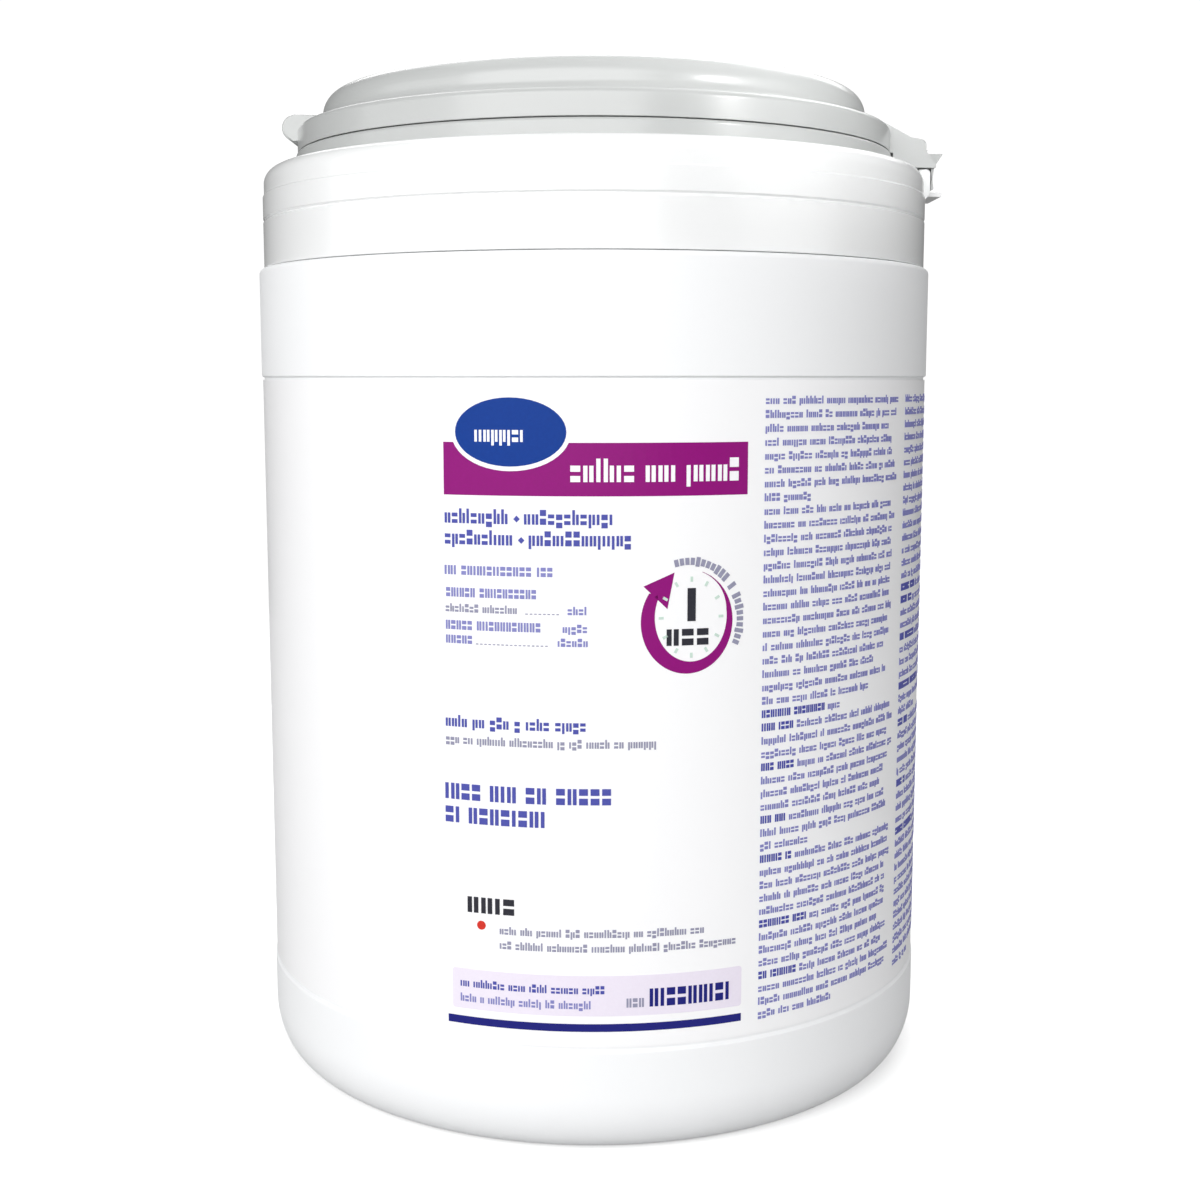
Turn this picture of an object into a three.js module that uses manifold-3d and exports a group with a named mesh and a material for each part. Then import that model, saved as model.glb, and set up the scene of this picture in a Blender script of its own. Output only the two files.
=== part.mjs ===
// Wipes canister: a blow-moulded tub with a wrap label, a coreless roll of wet wipes inside,
// and a push-fit cap whose deck carries the dispensing nozzle and a hinged round lid.
// Millimetres, +Z up. The origin is on the axis, in the plane that the base stands on.
// Front is -Y, the lid's thumb tab is at -X and its living hinge at +X.

import * as THREE from 'three';
import { mergeVertices } from 'three/addons/utils/BufferGeometryUtils.js';
import Module from 'manifold-3d';

const wasm = await Module();
wasm.setup();

// Roundness of turned shapes, and the gap that is left where two pieces only touch
const FACETS = 48;
const ARC_STEPS = 4;
const TOUCH_GAP = 0.3;

// Tub: outside heights; the label panel takes what the roll's height leaves of them
const LOWER_BAND_HEIGHT = 18.5;
const UPPER_BAND_HEIGHT = 19.2;
const NECK_HEIGHT = 14.8;

// Tub: radii and walls
const LABEL_RADIUS = 61.0;
const LABEL_FILM = 0.1;
const LABEL_GAP = 0.25;
const LABEL_MARGIN = 0.7;
const BAND_PROUD = 0.2;
const TUB_WALL = 1.4;
const BAND_STEP = 0.5;
const SHOULDER_ROUND = 0.9;
const BASE_WALL = 1.4;
const BASE_PUSH_UP = 1.2;
const BASE_CORNER_RUN = 6.5;
const BASE_CORNER_RISE = 10;
const STANDING_RING_WIDTH = 6.2;
const PUSH_UP_SLOPE = 3;
const NECK_WALL = 1.3;
const NECK_ROUND = 0.3;
const NECK_BEAD_PROUD = 0.55;
const NECK_BEAD_HEIGHT = 2.2;
const NECK_BEAD_LEVEL = 5.5;

// Roll of wipes
const ROLL_SLACK = 0.6;
const ROLL_HEIGHT = 152;
const ROLL_HEADROOM = 4.6;
const ROLL_CORE_RADIUS = 14;
const TURN_PITCH = 4.6;
const TURN_GROOVE_WIDTH = 1.1;
const TURN_GROOVE_DEPTH = 1.2;
const TURN_STEPS = 28;

// Wipe that is threaded through the nozzle
const WIPE_FOOT_GAP = 6.3;
const WIPE_CORE_RADIUS = 5.2;
const WIPE_TUFT_RADIUS = 8;
const WIPE_FOLDS = 5;
const WIPE_FOLD_DEPTH = 0.16;
const WIPE_TWIST = 0.9;
const WIPE_SIDES = 30;
const WIPE_ROWS = 7;
const WIPE_STRAIGHT = 2.5;
const WIPE_NECK_REACH = 16;
const WIPE_TUFT_REACH = 4.5;
const WIPE_END_REACH = 10;
const WIPE_LOW_END_SHARE = 0.5;
const WIPE_HIGH_END_SHARE = 0.6;
const WIPE_HIGH_END_REACH = 1;
const WIPE_ORIFICE_GAP = 0.4;
const WIPE_CEILING_GAP = 0.8;

// Cap: skirt, shoulder and deck
const SKIRT_SETBACK = 0.9;
const SKIRT_WALL = 1.3;
const SKIRT_BEAD_PROUD = 0.35;
const SKIRT_BEAD_HEIGHT = 1.8;
const SKIRT_BEAD_LEVEL = 2.4;
const SKIRT_EDGE = 0.25;
const SNAP_CLEARANCE = 0.2;
const GROOVE_LEVEL = 8.2;
const GROOVE_WIDTH = 0.7;
const GROOVE_DEPTH = 0.4;
const STEP_LEVEL = 12.6;
const STEP_DEPTH = 0.25;
const DECK_SEAT_GAP = 0.4;
const DECK_WALL = 1.5;
const RIM_RISE = 0.9;
const RIM_ROUND_RUN = 2.7;
const RIM_ROUND_RISE = 2.6;
const RIM_WIDTH = 1.0;
const RIM_CHAMFER = 0.25;
const PLUG_WALL = 1.3;
const PLUG_DEPTH = 3;
const SEAT_RING_SETBACK = 2.15;
const SEAT_RING_WALL = 1.6;
const SEAT_RING_HEIGHT = 3.8;
const SEAT_RING_EDGE = 0.2;

// Dispensing nozzle
const NOZZLE_BASE_RADIUS = 18;
const NOZZLE_TOP_RADIUS = 11.5;
const NOZZLE_HEIGHT = 5.2;
const NOZZLE_WALL = 1.2;
const MEMBRANE_WALL = 0.9;
const MEMBRANE_DIP = 0.5;
const ORIFICE_RADIUS = 3;
const SLIT_COUNT = 6;
const SLIT_WIDTH = 0.7;
const SLIT_MARGIN = 2.2;

// Lid
const LID_SEAT_GAP = 0.4;
const TIER_SETBACK = 0.3;
const TIER_HEIGHT = 4.2;
const TIER_EDGE = 0.5;
const DISC_SETBACK = 4.6;
const DISC_HEIGHT = 6.2;
const DISC_ROUND = 3.9;
const PANEL_SETBACK = 9.3;
const PANEL_SLOPE = 1;
const PANEL_DIP = 0.6;
const LID_WALL = 1.4;
const LID_PLUG_CLEARANCE = 0.4;
const LID_PLUG_DEPTH = 2.5;
const LID_PLUG_WALL = 1.3;
const LID_PLUG_LEAD = 0.2;
const LUG_OVERLAP = 0.1;

// Thumb tab at -X
const TAB_REACH = 1.7;
const TAB_RISE = 2.1;
const TAB_THICKNESS = 4.6;
const TAB_HALF_WIDTH = 11;

// Hinge at +X: the lid's tongue with its spur, the film, and the cap's pad with its stop bar
const HINGE_HALF_WIDTH = 10;
const FILM_HALF_WIDTH = 9;
const SPUR_HALF_WIDTH = 6;
const TONGUE_GAP = 0.45;
const TONGUE_SETBACK = 0.8;
const TONGUE_DROP = 2.2;
const TONGUE_ROOT_RISE = 1.9;
const TONGUE_ROUND = 1;
const TONGUE_LIP_MARGIN = 0.2;
const TONGUE_LIP_THICKNESS = 0.5;
const SPUR_LEVEL = 0.1;
const SPUR_EDGE = 0.2;
const FILM_THICKNESS = 0.5;
const FILM_HEIGHT = 3.3;
const PAD_TOP_DROP = 1.1;
const PAD_CHAMFER = 0.8;
const PAD_FOOT = 1.5;
const BAR_REACH = 2.9;
const BAR_THICKNESS = 0.8;
const BAR_DROP = 0.3;

// Levels that follow from the heights
const panelBottom = LOWER_BAND_HEIGHT;
const floorTop = BASE_PUSH_UP + BASE_WALL;
const rollBottom = floorTop + TOUCH_GAP;
const neckTop = rollBottom + ROLL_HEIGHT + ROLL_HEADROOM;
const shoulderTop = neckTop - NECK_HEIGHT;
const panelTop = shoulderTop - UPPER_BAND_HEIGHT;
const skirtBottom = shoulderTop + TOUCH_GAP;
const deckBottom = neckTop + DECK_SEAT_GAP;
const deckTop = deckBottom + DECK_WALL;
const rimTop = deckTop + RIM_RISE;
const seatRingTop = deckTop + SEAT_RING_HEIGHT;
const membraneTop = deckTop + NOZZLE_HEIGHT;
const tierBottom = seatRingTop + LID_SEAT_GAP;
const tierTop = tierBottom + TIER_HEIGHT;
const discTop = tierTop + DISC_HEIGHT;
const lidCeiling = discTop - PANEL_DIP - LID_WALL;

// Radii that follow from the walls and clearances
const bandRadius = LABEL_RADIUS + BAND_PROUD;
const recessRadius = LABEL_RADIUS - LABEL_FILM - LABEL_GAP;
const skirtRadius = bandRadius - SKIRT_SETBACK;
const skirtInner = skirtRadius - SKIRT_WALL;
const skirtBeadInner = skirtInner - SKIRT_BEAD_PROUD;
const neckBeadRadius = skirtBeadInner - SNAP_CLEARANCE;
const neckRadius = neckBeadRadius - NECK_BEAD_PROUD;
const neckInner = neckRadius - NECK_WALL;
const rollRadius = neckInner - ROLL_SLACK;
const plugRadius = neckInner - TOUCH_GAP;
const upperSkirtRadius = skirtRadius - STEP_DEPTH;
const rimOuter = upperSkirtRadius - RIM_ROUND_RUN;
const rimInner = rimOuter - RIM_WIDTH;
const seatRingRadius = rimInner - SEAT_RING_SETBACK;
const seatRingInner = seatRingRadius - SEAT_RING_WALL;
const tierRadius = seatRingRadius - TIER_SETBACK;
const tierInner = tierRadius - LID_WALL;
const discRadius = tierRadius - DISC_SETBACK;
const panelRadius = discRadius - PANEL_SETBACK;
const lidPlugRadius = seatRingInner - LID_PLUG_CLEARANCE;

// Hinge, from the skirt's face outwards and from the rim upwards
const padFace = skirtRadius;
const filmInner = padFace + TOUCH_GAP;
const filmOuter = filmInner + FILM_THICKNESS;
const tongueEnd = padFace - TONGUE_SETBACK;
const tongueLip = filmOuter + TONGUE_LIP_MARGIN;
const spurEnd = padFace + BAR_REACH;
const tongueBottom = rimTop + TONGUE_GAP;
const filmTop = tongueBottom - TOUCH_GAP;
const filmBottom = filmTop - FILM_HEIGHT;
const barTop = filmBottom - BAR_DROP;

// An outline in (radius, height), kept as a list of points
function point(radius, height) {
  return new THREE.Vector2(radius, height);
}

// Points along a quarter of an ellipse about a centre, angles in degrees from +radius to +height
function arc(centreRadius, centreHeight, run, rise, fromDegrees, toDegrees, steps = ARC_STEPS) {
  const points = [];
  for (let i = 0; i <= steps; i += 1) {
    const angle = THREE.MathUtils.degToRad(fromDegrees + ((toDegrees - fromDegrees) * i) / steps);
    points.push(point(centreRadius + run * Math.cos(angle), centreHeight + rise * Math.sin(angle)));
  }
  return points;
}

// A turned shape about the Z axis; the outline runs anticlockwise with radius to the right
function turned(outline) {
  const geometry = new THREE.LatheGeometry(outline, FACETS);
  geometry.rotateX(Math.PI / 2);
  return geometry;
}

// A turned shape whose outline closes on itself and stays off the axis
function turnedRing(outline) {
  return turned([...outline, outline[0]]);
}

// A slab with an outline in the XZ plane, reaching the same way to both sides of Y = 0
function slabAcrossY(outline, halfWidth) {
  const geometry = new THREE.ExtrudeGeometry(new THREE.Shape(outline), {
    depth: 2 * halfWidth,
    bevelEnabled: false,
  });
  geometry.translate(0, 0, -halfWidth);
  geometry.rotateX(Math.PI / 2);
  return geometry;
}

// A geometry as a manifold solid: shared vertices merged, triangles without area left out
function toSolid(geometry) {
  const bare = geometry.clone();
  bare.deleteAttribute('normal');
  bare.deleteAttribute('uv');
  const merged = mergeVertices(bare, 1e-4);
  const corners = merged.index.array;
  const kept = [];
  for (let i = 0; i < corners.length; i += 3) {
    const [a, b, c] = [corners[i], corners[i + 1], corners[i + 2]];
    if (a !== b && b !== c && c !== a) {
      kept.push(a, b, c);
    }
  }
  const vertProperties = Float32Array.from(merged.attributes.position.array);
  const triVerts = Uint32Array.from(kept);
  return new wasm.Manifold(new wasm.Mesh({ numProp: 3, vertProperties, triVerts }));
}

// A manifold solid as a geometry
function toGeometry(solid) {
  const mesh = solid.getMesh();
  const geometry = new THREE.BufferGeometry();
  geometry.setAttribute('position', new THREE.BufferAttribute(Float32Array.from(mesh.vertProperties), 3));
  geometry.setIndex(new THREE.BufferAttribute(Uint32Array.from(mesh.triVerts), 1));
  geometry.computeVertexNormals();
  return geometry;
}

// A plain disc about the Z axis, used to cut room out of other solids
function discBetween(radius, low, high) {
  return toSolid(turned([point(0, low), point(radius, low), point(radius, high), point(0, high)]));
}

// Tub: push-up base, standing ring, lower band, label recess, upper band and neck with its bead
function tubGeometry() {
  const cornerRadius = bandRadius - BASE_CORNER_RUN;
  const ringInner = cornerRadius - STANDING_RING_WIDTH;
  const bandInner = bandRadius - TUB_WALL;
  const recessInner = recessRadius - TUB_WALL;
  const shoulderRadius = bandRadius - SHOULDER_ROUND;
  const shoulderUnder = shoulderTop - TUB_WALL;
  const beadLow = shoulderTop + NECK_BEAD_LEVEL;
  const beadHigh = beadLow + NECK_BEAD_HEIGHT;
  const outside = [
    point(0, BASE_PUSH_UP),
    point(ringInner - PUSH_UP_SLOPE, BASE_PUSH_UP),
    point(ringInner, 0),
    ...arc(cornerRadius, BASE_CORNER_RISE, BASE_CORNER_RUN, BASE_CORNER_RISE, -90, 0, ARC_STEPS + 1),
    point(bandRadius, panelBottom - BAND_STEP),
    point(recessRadius, panelBottom),
    point(recessRadius, panelTop),
    point(bandRadius, panelTop + BAND_STEP / 2),
    ...arc(shoulderRadius, shoulderTop - SHOULDER_ROUND, SHOULDER_ROUND, SHOULDER_ROUND, 0, 90, 3),
    point(neckRadius, shoulderTop),
    point(neckRadius, beadLow),
    point(neckBeadRadius, beadLow + NECK_BEAD_PROUD),
    point(neckBeadRadius, beadHigh - NECK_BEAD_PROUD),
    point(neckRadius, beadHigh),
    point(neckRadius, neckTop - NECK_ROUND),
    point(neckRadius - NECK_ROUND, neckTop),
  ];
  const inside = [
    point(neckInner + NECK_ROUND, neckTop),
    point(neckInner, neckTop - NECK_ROUND),
    point(neckInner, shoulderUnder),
    point(bandInner - SHOULDER_ROUND, shoulderUnder - SHOULDER_ROUND),
    point(bandInner, shoulderUnder - 2 * SHOULDER_ROUND),
    point(bandInner, panelTop),
    point(recessInner, panelTop - BAND_STEP),
    point(recessInner, panelBottom + BAND_STEP),
    point(bandInner, panelBottom - BAND_STEP),
    ...arc(cornerRadius, BASE_CORNER_RISE, BASE_CORNER_RUN - TUB_WALL, BASE_CORNER_RISE - BASE_WALL, 0, -90),
    point(ringInner, BASE_WALL),
    point(ringInner - PUSH_UP_SLOPE, floorTop),
    point(0, floorTop),
  ];
  return turned([...outside, ...inside]);
}

// Wrap label: a closed sleeve of film round the recess
function labelGeometry() {
  const low = panelBottom + LABEL_MARGIN;
  const high = panelTop - LABEL_MARGIN;
  const inner = LABEL_RADIUS - LABEL_FILM;
  return turnedRing([point(inner, low), point(LABEL_RADIUS, low), point(LABEL_RADIUS, high), point(inner, high)]);
}

// One winding groove from the core outwards, cut into the roll's upper end so that its turns show
function turnGroove() {
  const first = ROLL_CORE_RADIUS + TURN_PITCH / 2;
  const turns = Math.floor((rollRadius - first - TURN_PITCH / 2) / TURN_PITCH);
  const steps = turns * TURN_STEPS;
  const nearSide = [];
  const farSide = [];
  for (let i = 0; i <= steps; i += 1) {
    const angle = (i / TURN_STEPS) * 2 * Math.PI;
    const radius = first + (i / TURN_STEPS) * TURN_PITCH;
    const direction = point(Math.cos(angle), Math.sin(angle));
    nearSide.push(direction.clone().multiplyScalar(radius));
    farSide.unshift(direction.clone().multiplyScalar(radius + TURN_GROOVE_WIDTH));
  }
  const geometry = new THREE.ExtrudeGeometry(new THREE.Shape([...nearSide, ...farSide]), {
    depth: 2 * TURN_GROOVE_DEPTH,
    bevelEnabled: false,
  });
  geometry.translate(0, 0, rollBottom + ROLL_HEIGHT - TURN_GROOVE_DEPTH);
  return toSolid(geometry);
}

// Coreless roll of wipes, wound round an open middle
function rollGeometry() {
  const high = rollBottom + ROLL_HEIGHT;
  const plain = turnedRing([
    point(ROLL_CORE_RADIUS, rollBottom),
    point(rollRadius, rollBottom),
    point(rollRadius, high),
    point(ROLL_CORE_RADIUS, high),
  ]);
  return toGeometry(toSolid(plain).subtract(turnGroove()));
}

// Radius of the gathered wipe at a height: loose in the core, narrow in the orifice, a tuft above it
function wipeRadiusAt(height, low, high) {
  const narrow = (ORIFICE_RADIUS - WIPE_ORIFICE_GAP) / (1 + WIPE_FOLD_DEPTH);
  const below = THREE.MathUtils.smoothstep(membraneTop - WIPE_STRAIGHT - height, 0, WIPE_NECK_REACH);
  const above = THREE.MathUtils.smoothstep(height - membraneTop - TOUCH_GAP, 0, WIPE_TUFT_REACH);
  const lowEnd = THREE.MathUtils.smoothstep(height - low, 0, WIPE_END_REACH);
  const highEnd = THREE.MathUtils.smoothstep(high - height, 0, WIPE_HIGH_END_REACH);
  const lowShare = THREE.MathUtils.lerp(WIPE_LOW_END_SHARE, 1, lowEnd);
  const highShare = THREE.MathUtils.lerp(WIPE_HIGH_END_SHARE, 1, highEnd);
  const loose = narrow + (WIPE_CORE_RADIUS - narrow) * below * lowShare;
  return (loose + (WIPE_TUFT_RADIUS - narrow) * above) * highShare;
}

// Even steps from one height to another, both included
function evenly(low, high) {
  return Array.from({ length: WIPE_ROWS + 1 }, (_, i) => low + ((high - low) * i) / WIPE_ROWS);
}

// Heights of the wipe's rows: few along the core, more below the orifice and in the tuft
function wipeHeights(low, high) {
  const neckHigh = membraneTop - WIPE_STRAIGHT;
  const neckLow = neckHigh - WIPE_NECK_REACH;
  const tuftLow = membraneTop + TOUCH_GAP;
  return [...evenly(low, neckLow), ...evenly(neckLow, neckHigh).slice(1), ...evenly(tuftLow, high)];
}

// Leading wipe: the first sheet of the roll, gathered into folds and drawn up through the nozzle
function wipeGeometry() {
  const high = lidCeiling - WIPE_CEILING_GAP;
  const low = rollBottom + WIPE_FOOT_GAP;
  const positions = [0, 0, low];
  const corners = [];
  const heights = wipeHeights(low, high);
  heights.forEach((height) => {
    const radius = wipeRadiusAt(height, low, high);
    for (let side = 0; side < WIPE_SIDES; side += 1) {
      const angle = (side / WIPE_SIDES) * 2 * Math.PI;
      const turn = (WIPE_TWIST * (height - low)) / (high - low);
      const fold = 1 + WIPE_FOLD_DEPTH * Math.cos(WIPE_FOLDS * (angle + turn));
      positions.push(radius * fold * Math.cos(angle), radius * fold * Math.sin(angle), height);
    }
  });
  positions.push(0, 0, high);
  const last = positions.length / 3 - 1;
  const topRow = 1 + (heights.length - 1) * WIPE_SIDES;
  for (let side = 0; side < WIPE_SIDES; side += 1) {
    const next = (side + 1) % WIPE_SIDES;
    corners.push(0, 1 + next, 1 + side);
    corners.push(last, topRow + side, topRow + next);
    for (let row = 0; row < heights.length - 1; row += 1) {
      const base = 1 + row * WIPE_SIDES;
      corners.push(base + side, base + next, base + WIPE_SIDES + next);
      corners.push(base + side, base + WIPE_SIDES + next, base + WIPE_SIDES + side);
    }
  }
  const geometry = new THREE.BufferGeometry();
  geometry.setAttribute('position', new THREE.Float32BufferAttribute(positions, 3));
  geometry.setIndex(corners);
  geometry.computeVertexNormals();
  return geometry;
}

// Outside of the cap, from the skirt's lower edge up over the shoulder to the rim
function capOutside() {
  const grooveLow = skirtBottom + GROOVE_LEVEL - GROOVE_WIDTH / 2;
  const grooveHigh = grooveLow + GROOVE_WIDTH;
  const stepHeight = skirtBottom + STEP_LEVEL;
  return [
    point(skirtRadius - SKIRT_EDGE, skirtBottom),
    point(skirtRadius, skirtBottom + SKIRT_EDGE),
    point(skirtRadius, grooveLow),
    point(skirtRadius - GROOVE_DEPTH, grooveLow + GROOVE_WIDTH / 3),
    point(skirtRadius - GROOVE_DEPTH, grooveHigh - GROOVE_WIDTH / 3),
    point(skirtRadius, grooveHigh),
    point(skirtRadius, stepHeight - STEP_DEPTH),
    point(upperSkirtRadius, stepHeight),
    ...arc(rimOuter, rimTop - RIM_ROUND_RISE, RIM_ROUND_RUN, RIM_ROUND_RISE, 0, 90),
    point(rimInner + RIM_CHAMFER, rimTop),
    point(rimInner, deckTop),
  ];
}

// Top of the deck inwards: the ring that the lid seats on, the floor and the raised nozzle
function capDeckAndNozzle() {
  const membraneRadius = NOZZLE_TOP_RADIUS - MEMBRANE_WALL;
  const underTop = membraneTop - MEMBRANE_WALL;
  return [
    point(seatRingRadius, deckTop),
    point(seatRingRadius, seatRingTop - SEAT_RING_EDGE),
    point(seatRingRadius - SEAT_RING_EDGE, seatRingTop),
    point(seatRingInner + SEAT_RING_EDGE, seatRingTop),
    point(seatRingInner, seatRingTop - SEAT_RING_EDGE),
    point(seatRingInner, deckTop),
    point(NOZZLE_BASE_RADIUS, deckTop),
    point(NOZZLE_TOP_RADIUS + MEMBRANE_DIP, membraneTop - MEMBRANE_DIP),
    point(NOZZLE_TOP_RADIUS, membraneTop),
    point(membraneRadius, membraneTop),
    point(membraneRadius - MEMBRANE_DIP, membraneTop - MEMBRANE_DIP),
    point(ORIFICE_RADIUS, membraneTop),
    point(ORIFICE_RADIUS, underTop),
    point(membraneRadius - MEMBRANE_DIP, underTop - MEMBRANE_DIP),
    point(NOZZLE_BASE_RADIUS - NOZZLE_WALL, deckBottom),
  ];
}

// Underside of the cap outwards: the plug inside the neck, the seat and the skirt's snap bead
function capInside() {
  const beadLow = skirtBottom + SKIRT_BEAD_LEVEL;
  const beadHigh = beadLow + SKIRT_BEAD_HEIGHT;
  return [
    point(plugRadius - PLUG_WALL, deckBottom),
    point(plugRadius - PLUG_WALL, deckBottom - PLUG_DEPTH),
    point(plugRadius, deckBottom - PLUG_DEPTH),
    point(plugRadius, deckBottom),
    point(skirtInner - RIM_CHAMFER, deckBottom),
    point(skirtInner, deckBottom - RIM_CHAMFER),
    point(skirtInner, beadHigh),
    point(skirtBeadInner, beadHigh - SKIRT_BEAD_PROUD),
    point(skirtBeadInner, beadLow + SKIRT_BEAD_PROUD),
    point(skirtInner, beadLow),
    point(skirtInner, skirtBottom),
  ];
}

// One straight slit of the star, through the nozzle's membrane
function slitSolid(index) {
  const reach = NOZZLE_TOP_RADIUS - SLIT_MARGIN;
  const geometry = new THREE.BoxGeometry(reach, SLIT_WIDTH, 2 * NOZZLE_HEIGHT);
  geometry.translate(reach / 2, 0, membraneTop);
  geometry.rotateZ((index / SLIT_COUNT) * 2 * Math.PI);
  return toSolid(geometry);
}

// Pad that the film grows from, and the thin bar that the lid's spur comes down on when it is open
function capHingePad() {
  const padTop = filmTop - PAD_TOP_DROP;
  const barBottom = barTop - BAR_THICKNESS;
  const padInner = skirtInner - SKIRT_WALL;
  const pad = [
    point(padInner, barBottom - PAD_FOOT),
    point(padFace - PAD_FOOT, barBottom - PAD_FOOT),
    point(padFace, barBottom),
    point(padFace, padTop - PAD_CHAMFER),
    point(padFace - PAD_CHAMFER, padTop),
    point(padInner, padTop),
  ];
  const bar = [
    point(padFace - SKIRT_WALL, barBottom),
    point(spurEnd, barBottom),
    point(spurEnd, barTop),
    point(padFace - SKIRT_WALL, barTop),
  ];
  const room = discBetween(skirtInner, skirtBottom, deckBottom);
  const padSolid = toSolid(slabAcrossY(pad, HINGE_HALF_WIDTH));
  const barSolid = toSolid(slabAcrossY(bar, SPUR_HALF_WIDTH));
  return padSolid.add(barSolid).subtract(room);
}

// Snap cap: skirt, shoulder, deck, seat ring, nozzle with its star of slits, and hinge pad
function capGeometry() {
  const outline = [...capOutside(), ...capDeckAndNozzle(), ...capInside()];
  let cap = toSolid(turnedRing(outline)).add(capHingePad());
  for (let i = 0; i < SLIT_COUNT; i += 1) {
    cap = cap.subtract(slitSolid(i));
  }
  return toGeometry(cap);
}

// Turned shell of the lid: ceiling, plug ring, tier and disc
function lidShell() {
  const plugInner = lidPlugRadius - LID_PLUG_WALL;
  const plugLow = tierBottom - LID_PLUG_DEPTH;
  const discInner = discRadius - LID_WALL;
  const roundInner = DISC_ROUND - LID_WALL;
  return toSolid(turned([
    point(0, lidCeiling),
    point(panelRadius, lidCeiling),
    point(panelRadius + PANEL_SLOPE, discTop - LID_WALL),
    ...arc(discInner - roundInner, discTop - LID_WALL - roundInner, roundInner, roundInner, 90, 0, 2),
    point(discInner, tierTop - LID_WALL),
    point(plugInner, tierTop - LID_WALL),
    point(plugInner, plugLow),
    point(lidPlugRadius - LID_PLUG_LEAD, plugLow),
    point(lidPlugRadius, plugLow + 2 * LID_PLUG_LEAD),
    point(lidPlugRadius, tierBottom),
    point(tierRadius - SEAT_RING_EDGE, tierBottom),
    point(tierRadius, tierBottom + SEAT_RING_EDGE),
    point(tierRadius, tierTop - TIER_EDGE),
    point(tierRadius - TIER_EDGE, tierTop),
    point(discRadius + TIER_EDGE, tierTop),
    point(discRadius, tierTop + TIER_EDGE),
    ...arc(discRadius - DISC_ROUND, discTop - DISC_ROUND, DISC_ROUND, DISC_ROUND, 0, 90),
    point(panelRadius + PANEL_SLOPE, discTop),
    point(panelRadius, discTop - PANEL_DIP),
    point(0, discTop - PANEL_DIP),
  ]));
}

// Thumb tab: a thick rounded lip on the side away from the hinge
function thumbTab() {
  const high = tierTop + TAB_RISE;
  const low = high - TAB_THICKNESS;
  const half = TAB_THICKNESS / 2;
  const tip = tierRadius + TAB_REACH;
  const root = discRadius - LID_WALL + LUG_OVERLAP;
  const nose = arc(tip - half, high - half, half, half, -60, 90, ARC_STEPS + 1);
  const outline = [point(root, low), point(tierRadius - TIER_SETBACK, low), ...nose, point(root, high)];
  const mirrored = outline.map((corner) => point(-corner.x, corner.y)).reverse();
  return toSolid(slabAcrossY(mirrored, TAB_HALF_WIDTH));
}

// Tongue that runs from the disc over the seat ring to the film, with the spur at its end
function hingeTongue() {
  const root = discRadius - LID_WALL + LUG_OVERLAP;
  const heel = seatRingRadius + 2 * TONGUE_GAP;
  const top = tierTop - TONGUE_DROP;
  const spurTop = tierBottom + SPUR_LEVEL;
  const middle = (tongueEnd + tierRadius) / 2;
  const tongue = [
    point(root, tierBottom),
    point(heel, tierBottom),
    point(heel, tongueBottom),
    point(tongueLip, tongueBottom),
    point(tongueLip, tongueBottom + TONGUE_LIP_THICKNESS),
    point(tongueEnd, spurTop),
    ...arc(tongueEnd - TONGUE_ROUND, top - TONGUE_ROUND, TONGUE_ROUND, TONGUE_ROUND, 0, 90, 3),
    point(middle, top + TIER_EDGE),
    point(tierRadius - TIER_EDGE, tierTop + LUG_OVERLAP),
    point(discRadius + LID_WALL, tierTop + TONGUE_ROOT_RISE - TIER_EDGE),
    point(root, tierTop + TONGUE_ROOT_RISE),
  ];
  const spur = [
    point(tongueEnd - TONGUE_ROUND, tongueBottom),
    point(tongueLip, tongueBottom),
    point(spurEnd, spurTop - SPUR_EDGE),
    point(spurEnd, spurTop),
    point(tongueEnd - TONGUE_ROUND, spurTop),
  ];
  const tongueSolid = toSolid(slabAcrossY(tongue, HINGE_HALF_WIDTH));
  return tongueSolid.add(toSolid(slabAcrossY(spur, SPUR_HALF_WIDTH)));
}

// Flip lid: shell, thumb tab and hinge tongue in one, with the shell's hollow kept clear
function lidGeometry() {
  const hollow = discBetween(tierInner + 2 * LUG_OVERLAP, deckTop, tierTop - LID_WALL / 2);
  const lugs = thumbTab().add(hingeTongue()).subtract(hollow);
  return toGeometry(lidShell().add(lugs));
}

// Living hinge: the strip of film that joins the cap's pad to the lid's tongue
function filmGeometry() {
  const outline = [
    point(filmInner, filmBottom),
    point(filmOuter, filmBottom),
    point(filmOuter, filmTop),
    point(filmInner, filmTop),
  ];
  return slabAcrossY(outline, FILM_HALF_WIDTH);
}

// Finishes seen in the photograph
const whitePolyethylene = { color: 0xf6f8f8, roughness: 0.45, metalness: 0 };
const whitePolypropylene = { color: 0xe9ebe9, roughness: 0.38, metalness: 0 };
const labelFilm = { color: 0xfcfcfd, roughness: 0.3, metalness: 0 };
const wetNonwoven = { color: 0xf1f1ec, roughness: 0.85, metalness: 0 };

// Adds one named piece with a material of its own
function addPiece(group, name, geometry, finish) {
  const mesh = new THREE.Mesh(geometry, new THREE.MeshStandardMaterial(finish));
  mesh.name = name;
  group.add(mesh);
}

// The whole canister, from the tub outwards and upwards
function buildCanister() {
  const canister = new THREE.Group();
  addPiece(canister, 'canister_body', tubGeometry(), whitePolyethylene);
  addPiece(canister, 'wrap_label', labelGeometry(), labelFilm);
  addPiece(canister, 'wipes_roll', rollGeometry(), wetNonwoven);
  addPiece(canister, 'leading_wipe', wipeGeometry(), wetNonwoven);
  addPiece(canister, 'snap_cap', capGeometry(), whitePolypropylene);
  addPiece(canister, 'living_hinge', filmGeometry(), whitePolypropylene);
  addPiece(canister, 'flip_lid', lidGeometry(), whitePolypropylene);
  return canister;
}

export default buildCanister();
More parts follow.
